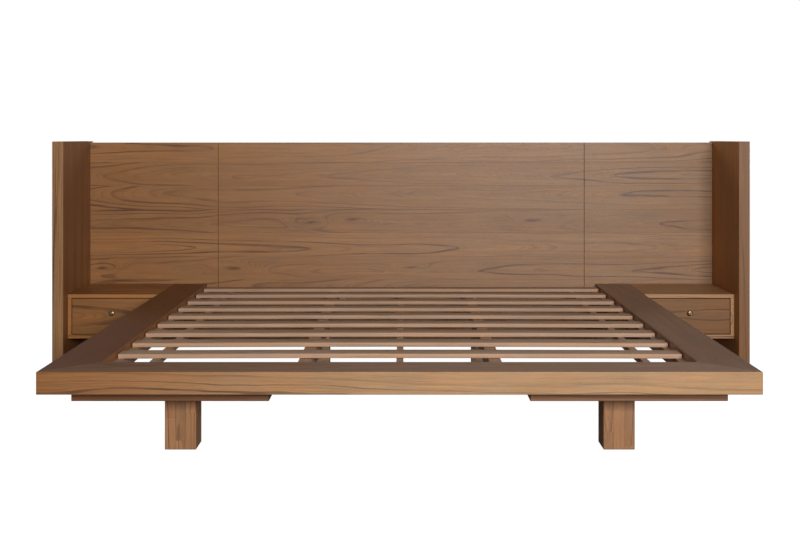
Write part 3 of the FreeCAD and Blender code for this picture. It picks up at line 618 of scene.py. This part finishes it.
    def swell(self, graph: Graph, place: Value, swirls: tuple[Swirl, ...]) -> tuple[Field, Field]:
        """Rounded bulges in the rings, as wood grows round its knots.

        Args:
            graph: The graph to add to.
            place: Object coordinates.
            swirls: The bulges.

        Returns:
            How much farther from the pith each point seems, in metres, and how much of the
            knots' dark hearts shows there.
        """
        ragged = graph.noise(place, Scale.KNOT_SHAKE, output="Color")
        shaken = graph.scale(graph.vector("SUBTRACT", ragged, MIDDLE), 0.022)
        place = graph.vector("ADD", place, shaken)
        total: Value = 0.0
        heart: Value = 0.0
        for swirl in swirls:
            from_knot = graph.vector("SUBTRACT", place, (swirl.x, 0.0, swirl.z))
            scaled = graph.vector("MULTIPLY", from_knot, (1 / swirl.wide, 0.0, 1 / swirl.high))
            square = graph.math("POWER", graph.length(scaled), 2.0)
            total = graph.math("EXPONENT", square * -1.0) * swirl.rise + total
            heart = graph.math("MAXIMUM", heart, graph.math("EXPONENT", square * -14.0))
        return total, heart * Weight.HEART


# ---- metal and plastic


@dataclass(frozen=True)
class MetalFinish:
    """A metal or plastic surface.

    Attributes:
        name: The material's name.
        base: Main colour.
        stain: Colour of its tarnished or dull patches.
        metallic: 1 for bare metal and 0 for plastic.
        rough: Middle roughness.
        grain: Size of the pattern, per metre.
        relief: Strength of its bump.
    """

    name: str
    base: Colour
    stain: Colour
    metallic: float = 1.0
    rough: float = 0.4
    grain: float = 400.0
    relief: float = 0.15

    def material(self, shader: TimberShader) -> Material:
        """Builds the finish's material.

        Args:
            shader: Supplies the empty node material.

        Returns:
            The new material.
        """
        material, graph, surface = shader.begin(self.name)
        place = graph.get("Object", "ShaderNodeTexCoord")
        fine = graph.noise(place, self.grain, 3.0, 0.6)
        cloudy = graph.noise(place, self.grain / 9, 3.0)
        patches = graph.step(cloudy, 0.42, 0.66, 0.0, 0.6) + graph.step(fine, 0.5, 0.8, 0.0, 0.4)
        graph.feed(surface.inputs["Base Color"],
                   graph.mix(patches, (*self.base, 1.0), (*self.stain, 1.0)))
        surface.inputs["Metallic"].default_value = self.metallic
        graph.feed(surface.inputs["Roughness"], graph.math(
            "ADD", self.rough, (fine - 0.4) * 0.35, clamp=True))
        graph.feed(surface.inputs["Normal"], graph.add(
            "ShaderNodeBump", {"Strength": self.relief, "Distance": 0.0004, "Height": fine}))
        return material


PLATFORM_OAK = TimberFinish(
    "platform_oak", (0.455, 0.230, 0.106), (0.110, 0.040, 0.013), ring=0.014, line=1.0,
    wander=0.026)
HEADBOARD_OAK = TimberFinish(
    "headboard_oak", (0.385, 0.197, 0.092), (0.100, 0.034, 0.012), ring=0.0115, line=1.0,
    wander=0.015)
LEG_OAK = TimberFinish(
    "leg_oak", (0.440, 0.230, 0.112), (0.130, 0.050, 0.020), ring=0.010, line=1.0,
    wander=0.014)
NIGHTSTAND_OAK = TimberFinish(
    "nightstand_oak", (0.365, 0.180, 0.080), (0.075, 0.026, 0.009), ring=0.016, line=1.0,
    wander=0.018)
SLAT_PINE = TimberFinish(
    "slat_pine", (0.472, 0.298, 0.198), (0.210, 0.100, 0.046), ring=0.0060, line=0.95,
    wander=0.010, rough=0.62, coat=0.0)
FRAME_PINE = TimberFinish(
    "frame_pine", (0.480, 0.300, 0.180), (0.270, 0.135, 0.062), ring=0.0060, line=0.65,
    wander=0.010, rough=0.66, coat=0.0)
DRAWER_WOOD = TimberFinish(
    "drawer_box_wood", (0.540, 0.380, 0.245), (0.330, 0.200, 0.110), ring=0.0070, line=0.45,
    wander=0.010, rough=0.58, coat=0.0)
KNOB_BRASS = MetalFinish(
    "knob_brass", (0.60, 0.43, 0.24), (0.24, 0.150, 0.080), rough=0.22, grain=900.0)
SLIDE_STEEL = MetalFinish(
    "slide_steel", (0.55, 0.56, 0.57), (0.33, 0.34, 0.35), rough=0.36, grain=700.0)
ZINC_STEEL = MetalFinish(
    "zinc_steel", (0.60, 0.60, 0.58), (0.36, 0.36, 0.35), rough=0.38, grain=260.0)
GLIDE_PLASTIC = MetalFinish(
    "glide_plastic", (0.050, 0.042, 0.036), (0.085, 0.075, 0.065), metallic=0.0, rough=0.55,
    grain=1200.0, relief=0.3)


class Dresser:
    """Gives pieces their finishes, so that each timber piece has its own stretch of grain."""

    def __init__(self) -> None:
        """Builds the shared node groups."""
        self.shader = TimberShader()
        self.metals: dict[str, Material] = {}

    def metal(self, finish: MetalFinish) -> Material:
        """The finish's material, built at its first use."""
        if finish.name not in self.metals:
            self.metals[finish.name] = finish.material(self.shader)
        return self.metals[finish.name]

    def paint(self, node: str, material: Material) -> None:
        """Puts a material in every slot of a CAD node.

        Args:
            node: The node's name.
            material: Its new material.
        """
        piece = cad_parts[node]
        if not piece.material_slots:
            piece.data.materials.append(material)
        for slot in piece.material_slots:
            slot.material = material
        log.info("%s: %s", node, material.name)

    def timber(self, node: str, finish: TimberFinish, cut: Cut) -> None:
        """Gives one CAD node its own timber material.

        Args:
            node: The node's name.
            finish: Its colours and sheen.
            cut: Where in the log it comes from.
        """
        self.paint(node, self.shader.material(node, finish, cut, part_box(node)))

    def hardware(self, node: str, finish: MetalFinish) -> None:
        """Gives one CAD node a metal or plastic finish."""
        self.paint(node, self.metal(finish))


# ---- mesh helpers


def solids(node: str) -> list[np.ndarray]:
    """The corner points of each separate solid in a CAD node.

    Args:
        node: The node's name.

    Returns:
        One array of points for each solid, in order of place.
    """
    mesh = bmesh.new()
    mesh.from_mesh(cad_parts[node].data)
    bmesh.ops.remove_doubles(mesh, verts=mesh.verts, dist=1e-5)
    seen: set[bmesh.types.BMVert] = set()
    found = []
    for start in mesh.verts:
        if start in seen:
            continue
        seen.add(start)
        reached = [start]
        for vertex in reached:
            for edge in vertex.link_edges:
                other = edge.other_vert(vertex)
                if other not in seen:
                    seen.add(other)
                    reached.append(other)
        found.append(np.array([vertex.co[:] for vertex in reached]))
    mesh.free()
    return sorted(found, key=lambda points: tuple(np.round(points.mean(0), 4)))


def finish_piece(mesh: Mesh, name: str, nodes: tuple[str, ...]) -> None:
    """Turns a finished mesh into a piece that stands for CAD nodes of the fixed frame.

    Args:
        mesh: The mesh, in place.
        name: The piece's name.
        nodes: The CAD nodes that it stands for.
    """
    mesh.name = name
    mesh.polygons.foreach_set("use_smooth", [True] * len(mesh.polygons))
    mesh.set_sharp_from_angle(angle=math.radians(SHARP_ANGLE))
    piece = show(name, mesh)
    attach(piece, "frame")
    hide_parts(*nodes)
    log.info("%s: %d faces, stands for %s", name, len(mesh.polygons), ", ".join(nodes))


def grow(tree: NodeTree, start: Mesh | None, values: dict[str, Value]) -> Mesh:
    """Runs a Geometry Nodes tree once and keeps the plain mesh that it makes.

    Args:
        tree: The tree.
        start: The mesh that goes in, or None.
        values: The tree's inputs by name.

    Returns:
        The mesh that comes out, with no modifier and no instances.
    """
    holder = show("holder", start or bpy.data.meshes.new("holder"))
    modifier = holder.modifiers.new("grow", "NODES")
    modifier.node_group = tree
    for item in tree.interface.items_tree:
        if item.in_out == "INPUT" and item.name in values:
            modifier[item.identifier] = values[item.name]
    evaluated = holder.evaluated_get(bpy.context.evaluated_depsgraph_get())
    mesh = bpy.data.meshes.new_from_object(evaluated)
    holder.modifiers.clear()
    bpy.data.objects.remove(holder)
    return mesh


# ---- slats


@dataclass
class SlatDeck:
    """Nine loose-laid pine slats on their battens and ledges.

    Attributes:
        round: Radius of each slat's long edges, in metres.
        arch: Rise of a slat's middle above its ends, in metres.
        rings: Cross-sections along a slat.
    """

    round: float = 0.0025
    arch: float = 0.0022
    rings: int = 33

    def tree(self) -> NodeTree:
        """The Geometry Nodes tree that sweeps one slat and repeats it.

        Returns:
            A tree with the slats' sizes as named inputs.
        """
        graph, get, result = new_group(
            "slat_deck", "GeometryNodeTree",
            {INTEGER: "Count Rings Seed", MATERIAL: "Material",
             FLOAT: "Pitch First Height Length Width Thickness Round Arch"},
            {GEOMETRY: "Geometry"})
        outline = graph.add("GeometryNodeCurvePrimitiveQuadrilateral",
                            {"Width": get["Width"], "Height": get["Thickness"]})
        eased = graph.add("GeometryNodeFilletCurve", {
            "Curve": outline, "Count": 3, "Radius": get["Round"]}, mode="POLY")
        reach = get["Length"] * 0.5
        line = graph.add("GeometryNodeCurvePrimitiveLine", {
            "Start": graph.combine(reach * -1.0, 0.0, 0.0),
            "End": graph.combine(reach, 0.0, 0.0)})
        path = graph.add("GeometryNodeResampleCurve", {"Curve": line, "Count": get["Rings"]},
                         mode="COUNT")
        swept = graph.add("GeometryNodeCurveToMesh", {
            "Curve": path, "Profile Curve": eased, "Fill Caps": True})
        kept = graph.store(swept, "board", graph.add("GeometryNodeInputPosition"))
        rows = graph.add("GeometryNodeMeshLine", {
            "Count": get["Count"],
            "Start Location": graph.combine(0.0, get["First"], get["Height"]),
            "Offset": graph.combine(0.0, get["Pitch"], 0.0)})
        laid = graph.add("GeometryNodeInstanceOnPoints", {"Points": rows, "Instance": kept})
        chance = graph.add("FunctionNodeRandomValue", {
            0: (0.0, 0.0, 0.0), 1: (1.0, 1.0, 1.0), "Seed": get["Seed"]},
            data_type="FLOAT_VECTOR")
        marked = graph.store(laid, "pick", chance, domain="INSTANCE")
        real = graph.add("GeometryNodeRealizeInstances", {"Geometry": marked})

        board = graph.named("board")
        along, across, up = graph.split(board)
        share = along / reach
        random_x, random_y, random_z = graph.split(graph.named("pick"))
        arched = graph.add("GeometryNodeSetPosition", {
            "Geometry": real, "Offset": graph.combine(
                0.0, 0.0, (1.0 - share * share) * (get["Arch"] * (random_x + 0.4)))})
        place = graph.vector("ADD", board, graph.combine(
            random_y * 30.0, (random_z - 0.5) * 0.05, random_x * 0.03))
        cut = graph.store(arched, "board_place", place)
        to_side = get["Width"] * 0.5 - graph.math("ABSOLUTE", across)
        to_face = get["Thickness"] * 0.5 - graph.math("ABSOLUTE", up)
        edge = graph.add("ShaderNodeMapRange", {
            "Value": graph.math("MAXIMUM", to_side, to_face), "From Min": 0.0,
            "From Max": get["Round"], "To Min": 1.0, "To Max": 0.0})
        worn = graph.store(cut, "edge", edge, kind="FLOAT")
        dressed = graph.add("GeometryNodeSetMaterial", {
            "Geometry": worn, "Material": get["Material"]})
        graph.feed(result.inputs[0], dressed)
        return graph.tree

    def build(self, dresser: Dresser) -> None:
        """Makes the slats and dresses their battens and ledges.

        Args:
            dresser: Gives the finishes.
        """
        boards = solids("slats")
        low = [points.min(0) for points in boards]
        high = [points.max(0) for points in boards]
        middle = sorted((a[1] + b[1]) / 2 for a, b in zip(low, high))
        size = high[0] - low[0]
        cut = Cut(Lie.FLAT_ACROSS, depth=0.05, taper=0.012)
        material = dresser.shader.material(
            "slats", SLAT_PINE, cut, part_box("slats"), attribute="board_place")
        mesh = grow(self.tree(), None, {
            "Count": len(boards), "Pitch": float(middle[1] - middle[0]),
            "First": float(middle[0]), "Height": float((low[0][2] + high[0][2]) / 2),
            "Length": float(size[0]), "Width": float(size[1]), "Thickness": float(size[2]),
            "Round": self.round, "Arch": self.arch, "Rings": self.rings, "Seed": 11,
            "Material": material,
        })
        finish_piece(mesh, "pine_slats", ("slats",))
        dresser.timber("slat_battens", SLAT_PINE, Cut(Lie.FLAT_LENGTHWISE, 0.04))
        for side in SIDES:
            dresser.timber(f"{side}_slat_ledge", SLAT_PINE, Cut(Lie.STANDING_LENGTHWISE, 0.04))


# ---- screws and bolts


class Drive(Enum):
    """The recess that a driver goes into: corner angles in degrees and shares of its radius."""

    CROSS = tuple((90 * arm + turn, reach) for arm in range(4)
                  for turn, reach in ((-16, 1.0), (16, 1.0), (45, 0.42)))
    SOCKET = tuple((60 * corner, 1.0) for corner in range(6))


@dataclass
class FastenerSet:
    """All the screws or bolts of one kind.

    Attributes:
        node: The CAD node that they stand for.
        drive: The recess in the head.
        head: Head diameter, in metres.
        head_height: Height of the head.
        shank: Shank diameter.
        countersunk: Whether the head tapers into the shank.
        sides: Corners round the head.
    """

    node: str
    drive: Drive
    head: float
    head_height: float
    shank: float
    countersunk: bool = False
    sides: int = 16

    def profile(self, length: float) -> list[tuple[float, float]]:
        """Radius and depth of each ring, from the head's rim to the tip."""
        head, shank = self.head / 2, self.shank / 2
        if self.countersunk:
            top = [(head, 0.0), (head, 0.0004), (shank, self.head_height)]
            tip = [(shank * 0.95, length - 0.008), (shank * 0.3, length - 0.001)]
            return top + tip
        top = [(head * 0.80, 0.0), (head * 0.95, self.head_height * 0.22),
               (head, self.head_height * 0.55), (head, self.head_height)]
        tip = [(shank, self.head_height), (shank, length - 0.002), (shank * 0.75, length)]
        return top + tip

    def shape(self, length: float) -> Mesh:
        """One fastener, its head's outer face at the origin and its shank along +Z.

        Args:
            length: Its whole length, head included.

        Returns:
            The closed mesh.
        """
        mesh = bmesh.new()

        def ring(corners: list[tuple[float, float]], level: float) -> list[bmesh.types.BMVert]:
            """A ring of points at one level, from their radii and angles."""
            return [mesh.verts.new((radius * math.cos(turn), radius * math.sin(turn), level))
                    for radius, turn in corners]

        turns = [2 * math.pi * corner / self.sides for corner in range(self.sides)]
        rings = [ring([(radius, turn) for turn in turns], depth)
                 for radius, depth in self.profile(length)]
        for upper, lower in zip(rings, rings[1:]):
            for i in range(self.sides):
                mesh.faces.new((upper[i - 1], upper[i], lower[i], lower[i - 1]))
        mesh.faces.new(rings[-1])
        reach = self.head * (0.30 if self.drive is Drive.CROSS else 0.27)
        recess = [ring([(reach * part * share, math.radians(angle))
                        for angle, part in self.drive.value], level)
                  for level, share in ((0.0, 1.0), (self.head_height * 0.6, 0.8))]
        edges = [[mesh.edges.new((corners[i - 1], corners[i])) for i in range(len(corners))]
                 for corners in recess]
        rim = [mesh.edges.get((rings[0][i - 1], rings[0][i])) for i in range(self.sides)]
        bmesh.ops.bridge_loops(mesh, edges=rim + edges[0])
        bmesh.ops.bridge_loops(mesh, edges=edges[0] + edges[1])
        mesh.faces.new(recess[1])
        bmesh.ops.triangulate(mesh, faces=[face for face in mesh.faces if len(face.verts) > 4])
        bmesh.ops.recalc_face_normals(mesh, faces=mesh.faces)
        shape = bpy.data.meshes.new(f"{self.node}_shape")
        mesh.to_mesh(shape)
        mesh.free()
        return shape

    def points(self) -> tuple[Mesh, float]:
        """Where each fastener's head is and which way it points, from the CAD node's solids.

        Returns:
            A mesh of loose points with an "aim" attribute, and the fasteners' length.
        """
        heads, aims, length = [], [], 0.0
        for corners in solids(self.node):
            low, high = corners.min(0), corners.max(0)
            axis = int(np.argmax(high - low))
            middle = (low + high) / 2
            away = np.linalg.norm(np.delete(corners - middle, axis, axis=1), axis=1)
            near_low = away[corners[:, axis] < low[axis] + 0.0005].max()
            near_high = away[corners[:, axis] > high[axis] - 0.0005].max()
            aim = np.zeros(3)
            aim[axis] = 1.0 if near_low > near_high else -1.0
            head = middle.copy()
            head[axis] = low[axis] if near_low > near_high else high[axis]
            heads.append(head)
            aims.append(aim)
            length = float((high - low)[axis])
        mesh = bpy.data.meshes.new(f"{self.node}_points")
        mesh.from_pydata([tuple(head) for head in heads], [], [])
        mesh.attributes.new("aim", "FLOAT_VECTOR", "POINT").data.foreach_set(
            "vector", np.array(aims, np.float32).ravel())
        return mesh, length

    def build(self, tree: NodeTree, material: Material) -> None:
        """Makes every fastener of the set in one mesh.

        Args:
            tree: The tree that repeats a shape on points.
            material: The fasteners' finish.
        """
        start, length = self.points()
        template = show(f"{self.node}_template", self.shape(length))
        mesh = grow(tree, start, {"Shape": template, "Seed": 5, "Material": material})
        bpy.data.objects.remove(template)
        finish_piece(mesh, f"{self.node}_set", (self.node,))


def fastener_tree() -> NodeTree:
    """The Geometry Nodes tree that puts a shape on each point, turned to the point's aim.

    Returns:
        A tree with inputs Geometry, Shape, Seed and Material.
    """
    graph, get, result = new_group(
        "fasteners", "GeometryNodeTree",
        {GEOMETRY: "Geometry", "NodeSocketObject": "Shape", INTEGER: "Seed",
         MATERIAL: "Material"},
        {GEOMETRY: "Geometry"})
    aimed = graph.add("FunctionNodeAlignRotationToVector", {"Vector": graph.named("aim")},
                      axis="Z")
    spin = graph.get(1, "FunctionNodeRandomValue", {
        "Seed": get["Seed"], 2: 0.0, 3: 2 * math.pi}, data_type="FLOAT")
    about = graph.add("FunctionNodeAxisAngleToRotation", {
        "Axis": (0.0, 0.0, 1.0), "Angle": spin})
    turned = graph.add("FunctionNodeRotateRotation", {
        "Rotation": aimed, "Rotate By": about}, rotation_space="LOCAL")
    shape = graph.get("Geometry", "GeometryNodeObjectInfo", {"Object": get["Shape"]})
    placed = graph.add("GeometryNodeInstanceOnPoints", {
        "Points": get["Geometry"], "Instance": shape, "Rotation": turned})
    real = graph.add("GeometryNodeRealizeInstances", {"Geometry": placed})
    dressed = graph.add("GeometryNodeSetMaterial", {
        "Geometry": real, "Material": get["Material"]})
    graph.feed(result.inputs[0], dressed)
    return graph.tree


@dataclass
class Hardware:
    """Screws, bolts, brackets, hangers and the glides under the feet."""

    sets: tuple[FastenerSet, ...] = (
        FastenerSet("frame_screws", Drive.CROSS, 0.010, 0.003, 0.005, True),
        FastenerSet("batten_screws", Drive.CROSS, 0.008, 0.0025, 0.004, True, 12),
        FastenerSet("bracket_screws", Drive.CROSS, 0.009, 0.0025, 0.0045, False, 12),
        FastenerSet("rail_bolts", Drive.SOCKET, 0.022, 0.006, 0.010),
        FastenerSet("joint_bolts", Drive.SOCKET, 0.016, 0.005, 0.008),
        FastenerSet("leg_bolts", Drive.SOCKET, 0.020, 0.007, 0.010),
        FastenerSet("nightstand_bolts", Drive.SOCKET, 0.013, 0.004, 0.006),
    )

    def build(self, dresser: Dresser) -> None:
        """Makes the fasteners and dresses the rest.

        Args:
            dresser: Gives the finishes.
        """
        tree = fastener_tree()
        material = dresser.metal(ZINC_STEEL)
        for fasteners in self.sets:
            fasteners.build(tree, material)
        dresser.hardware("beam_hangers", ZINC_STEEL)
        dresser.hardware("corner_brackets", ZINC_STEEL)
        dresser.hardware("foot_glides", GLIDE_PLASTIC)


# ---- timber sub-assemblies


@dataclass
class Headboard:
    """Three panels between two wings, on a frame of rails and stiles.

    Attributes:
        stave: Width of the boards glued up into a panel, in metres.
        swirls: Knots that the panels' rings flow round.
    """

    stave: float = 0.1175
    swirls: tuple[Swirl, ...] = (
        Swirl(-0.45, 0.622, 0.10, 0.024, 0.022), Swirl(-0.24, 0.636, 0.11, 0.028, -0.020),
        Swirl(-0.84, 0.390, 0.12, 0.026, 0.024), Swirl(0.05, 0.396, 0.13, 0.024, 0.020),
        Swirl(0.66, 0.630, 0.15, 0.026, 0.022), Swirl(-1.50, 0.392, 0.10, 0.026, 0.022),
    )

    def build(self, dresser: Dresser) -> None:
        """Dresses the panels as one run of grain, then the wings and the frame behind.

        Args:
            dresser: Gives the finishes.
        """
        low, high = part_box("headboard_left_panel")[0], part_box("headboard_right_panel")[1]
        for part in ("left", "centre", "right"):
            node = f"headboard_{part}_panel"
            # Painted light: the panels' second tint makes them lighter and greyer to the right,
            # for the key light's sheen.
            cut = Cut(Lie.STANDING_ACROSS, 0.062, 0.021, self.stave, scatter=0.05,
                      patch=0.16, tint=(0.87, 0.74, 0.44), second=(0.88, 0.92, 0.92),
                      seed=3)
            material = dresser.shader.material("panels", HEADBOARD_OAK, cut, (low, high),
                                               self.swirls)
            material.name = f"headboard_oak_{part}_panel"
            dresser.paint(node, material)
        tints = {"left": ((0.80, 0.62, 0.35), (1.06, 1.04, 0.85)),
                 "right": ((1.18, 0.85, 0.22), (0.68, 0.56, 0.34))}
        for side, (tint, lipping) in tints.items():
            dresser.timber(f"{side}_wing", HEADBOARD_OAK, Cut(
                Lie.UPRIGHT_FACING_SIDE, 0.07, 0.025, 0.132, scatter=0.04, patch=0.22, ply=0.017,
                tint=tint, second=lipping, fade=Fade.AT_FRONT))
        dresser.timber("headboard_rails", FRAME_PINE, Cut(Lie.STANDING_ACROSS))
        for row in ("upper", "lower"):
            dresser.timber(f"headboard_{row}_stiles", FRAME_PINE, Cut(Lie.UPRIGHT_FACING_FOOT))


@dataclass
class Platform:
    """The mitred rails, the cross rail at the head, and the beams and legs under the slats."""

    def build(self, dresser: Dresser) -> None:
        """Dresses every timber of the platform.

        Args:
            dresser: Gives the finishes.
        """
        # Painted light on the front rail: lighter and greyer to the right for the key light's
        # sheen, and a cool tint on its top for sky light from above.
        dresser.timber("front_rail", PLATFORM_OAK, Cut(
            Lie.FLAT_ACROSS, 0.10, 0.02, tint=(0.54, 0.37, 0.115),
            second=(0.90, 1.00, 0.98), reach=(-1.6, 0.2), top=(0.86, 0.93, 1.40)))
        # Painted light on the side rails: the right rail is tinted lighter and greyer for the key
        # light's sheen, and both tops get painted shade, the right one cooler.
        dresser.timber("left_side_rail", PLATFORM_OAK, Cut(
            Lie.FLAT_LENGTHWISE, 0.10, 0.012, tint=(0.60, 0.46, 0.28),
            top=(0.62, 0.47, 0.23)))
        dresser.timber("right_side_rail", PLATFORM_OAK, Cut(
            Lie.FLAT_LENGTHWISE, 0.10, 0.012, tint=(0.80, 0.84, 0.98),
            top=(0.72, 0.72, 0.77)))
        dresser.timber("head_cross_rail", FRAME_PINE, Cut(Lie.STANDING_ACROSS, 0.06, 0.015))
        for side in SIDES:
            dresser.timber(f"{side}_support_beam", FRAME_PINE, Cut(Lie.STANDING_LENGTHWISE))
            dresser.timber(f"{side}_support_leg", FRAME_PINE, Cut(Lie.UPRIGHT_FACING_FOOT))


@dataclass
class Foot:
    """A plank under a front corner of the platform, and the square leg under it."""

    side: str

    def build(self, dresser: Dresser) -> None:
        """Dresses the plank and the leg.

        Args:
            dresser: Gives the finishes.
        """
        # The planks' dark tint is partly their own tone and partly painted shade for the shadow
        # under the rail, deeper on the left.
        tint, dark = (((0.81, 0.74, 0.63), (0.35, 0.24, 0.12)) if self.side == "left"
                      else ((0.80, 0.71, 0.57), (0.54, 0.41, 0.24)))
        dresser.timber(f"{self.side}_foot_plank", LEG_OAK, Cut(
            Lie.FLAT_ACROSS, 0.05, 0.02, 0.09, scatter=0.04, patch=0.30, tint=dark, seed=2))
        dresser.timber(f"{self.side}_leg", LEG_OAK, Cut(
            Lie.UPRIGHT_FACING_FOOT, 0.045, 0.03, 0.036, 0.34, scatter=0.05, patch=0.40,
            tint=tint, seed=4))


BOX_PARTS = {
    "inner_side": Lie.STANDING_LENGTHWISE, "outer_side": Lie.STANDING_LENGTHWISE,
    "back": Lie.STANDING_ACROSS, "bottom": Lie.FLAT_ACROSS, "top": Lie.FLAT_ACROSS,
}


@dataclass
class Nightstand:
    """An open-fronted box beside the platform and the drawer that fills it."""

    side: str

    def build(self, dresser: Dresser) -> None:
        """Dresses the carcass, the drawer, its knob and its slides.

        Args:
            dresser: Gives the finishes.
        """
        left = self.side == "left"
        # The right case is tinted lighter and greyer than the left: painted light, the key
        # light's sheen on that side.
        case = (1.15, 0.96, 0.54) if left else (1.33, 1.38, 1.28)
        for part, lie in BOX_PARTS.items():
            dresser.timber(f"{self.side}_nightstand_{part}", NIGHTSTAND_OAK,
                           Cut(lie, 0.06, 0.02, 0.11, scatter=0.03, patch=0.08, tint=case))
            if part != "top":
                dresser.timber(f"{self.side}_drawer_{part}", DRAWER_WOOD, Cut(lie, 0.06))
        face = (0.83, 0.69, 0.35) if left else (0.67, 0.55, 0.24)
        depth, taper = (0.055, 0.03) if left else (0.028, 0.012)
        dresser.timber(f"{self.side}_drawer_front", NIGHTSTAND_OAK,
                       Cut(Lie.STANDING_ACROSS, depth, taper, tint=face))
        for part, finish in (("knob", KNOB_BRASS), ("runners", SLIDE_STEEL),
                             ("slides", SLIDE_STEEL)):
            dresser.hardware(f"{self.side}_drawer_{part}", finish)


# ---- studio


@dataclass(frozen=True)
class SoftLight:
    """A soft box.

    Attributes:
        name: Its name.
        place: Where it stands.
        target: What it faces.
        size: Width and height, in metres.
        power: Power, in watts.
    """

    name: str
    place: Colour
    target: Colour
    size: tuple[float, float]
    power: float

    def build(self) -> None:
        """Makes the light."""
        data = bpy.data.lights.new(self.name, "AREA")
        data.shape = "RECTANGLE"
        data.size, data.size_y = self.size
        data.energy = self.power
        lamp = show(self.name, data)
        lamp.location = self.place
        aim = Vector(self.target) - Vector(self.place)
        lamp.rotation_euler = aim.to_track_quat("-Z", "Y").to_euler()


@dataclass
class Studio:
    """The camera, the pale floor, the surroundings and the soft lights."""

    camera_place: Colour = (0.014, -4.804, 1.047)
    lens: float = 52.785
    shift: tuple[float, float] = (-0.005, -0.1614)
    floor_reach: float = 60.0
    ambient: float = 0.11
    floor_glow: float = 0.975
    lights: tuple[SoftLight, ...] = (
        SoftLight("front_soft_box", (1.5, -7.2, 2.15), (0.0, 0.2, 0.4), (2.6, 1.5), 475.0),
        SoftLight("back_soft_box", (0.0, 4.4, 0.50), (0.0, 1.0, 0.6), (2.6, 0.8), 75.0),
        SoftLight("left_soft_box", (-4.6, 3.4, 1.5), (-1.6, 0.5, 0.5), (1.6, 1.6), 95.0),
        SoftLight("right_soft_box", (4.6, 3.4, 1.5), (1.6, 0.5, 0.5), (1.6, 1.6), 95.0),
    )

    def make_camera(self) -> None:
        """A level camera in front of the foot end, at standing height."""
        data = bpy.data.cameras.new("camera")
        data.sensor_width = 36.0
        data.lens = self.lens
        data.shift_x, data.shift_y = self.shift
        data.clip_end = 200.0
        camera = show("camera", data)
        camera.location = self.camera_place
        camera.rotation_euler = (math.radians(90.0), 0.0, 0.0)
        bpy.context.scene.camera = camera

    def make_floor(self) -> None:
        """A wide plain floor that glows a little, as a lit studio floor does."""
        mesh = bmesh.new()
        bmesh.ops.create_grid(mesh, x_segments=4, y_segments=4, size=self.floor_reach)
        data = bpy.data.meshes.new("studio_floor")
        mesh.to_mesh(data)
        mesh.free()
        floor = show("studio_floor", data)
        floor.location = (0.0, 0.0, -0.0005)
        material = bpy.data.materials.new("studio_floor")
        graph = emptied(material)
        cloth = graph.add("ShaderNodeBsdfDiffuse", {"Color": (0.30, 0.30, 0.30, 1.0)})
        lit = graph.add("ShaderNodeEmission", {"Color": WHITE, "Strength": self.floor_glow})
        both = graph.add("ShaderNodeAddShader", {0: cloth, 1: lit})
        graph.add("ShaderNodeOutputMaterial", {"Surface": for_camera(graph, both, cloth)})
        data.materials.append(material)

    def make_surroundings(self) -> None:
        """A white backdrop that lights the bed only weakly."""
        world = bpy.data.worlds.new("studio")
        graph = emptied(world)
        seen = graph.add("ShaderNodeBackground", {"Color": WHITE, "Strength": 1.0})
        dim = graph.add("ShaderNodeBackground", {"Color": WHITE, "Strength": self.ambient})
        graph.add("ShaderNodeOutputWorld", {"Surface": for_camera(graph, seen, dim)})
        bpy.context.scene.world = world

    def build(self) -> None:
        """Makes the whole studio."""
        bpy.context.scene.view_settings.view_transform = "Standard"
        self.make_camera()
        self.make_floor()
        self.make_surroundings()
        for light in self.lights:
            light.build()
        log.info("studio: %d lights", len(self.lights))


def main() -> None:
    """Builds the studio, then the bed's sub-assemblies in order."""
    logging.basicConfig(level=logging.INFO, format="%(message)s")
    Studio().build()
    dresser = Dresser()
    Headboard().build(dresser)
    Platform().build(dresser)
    SlatDeck().build(dresser)
    for side in SIDES:
        Foot(side).build(dresser)
        Nightstand(side).build(dresser)
    Hardware().build(dresser)


if __name__ == "__main__":
    main()
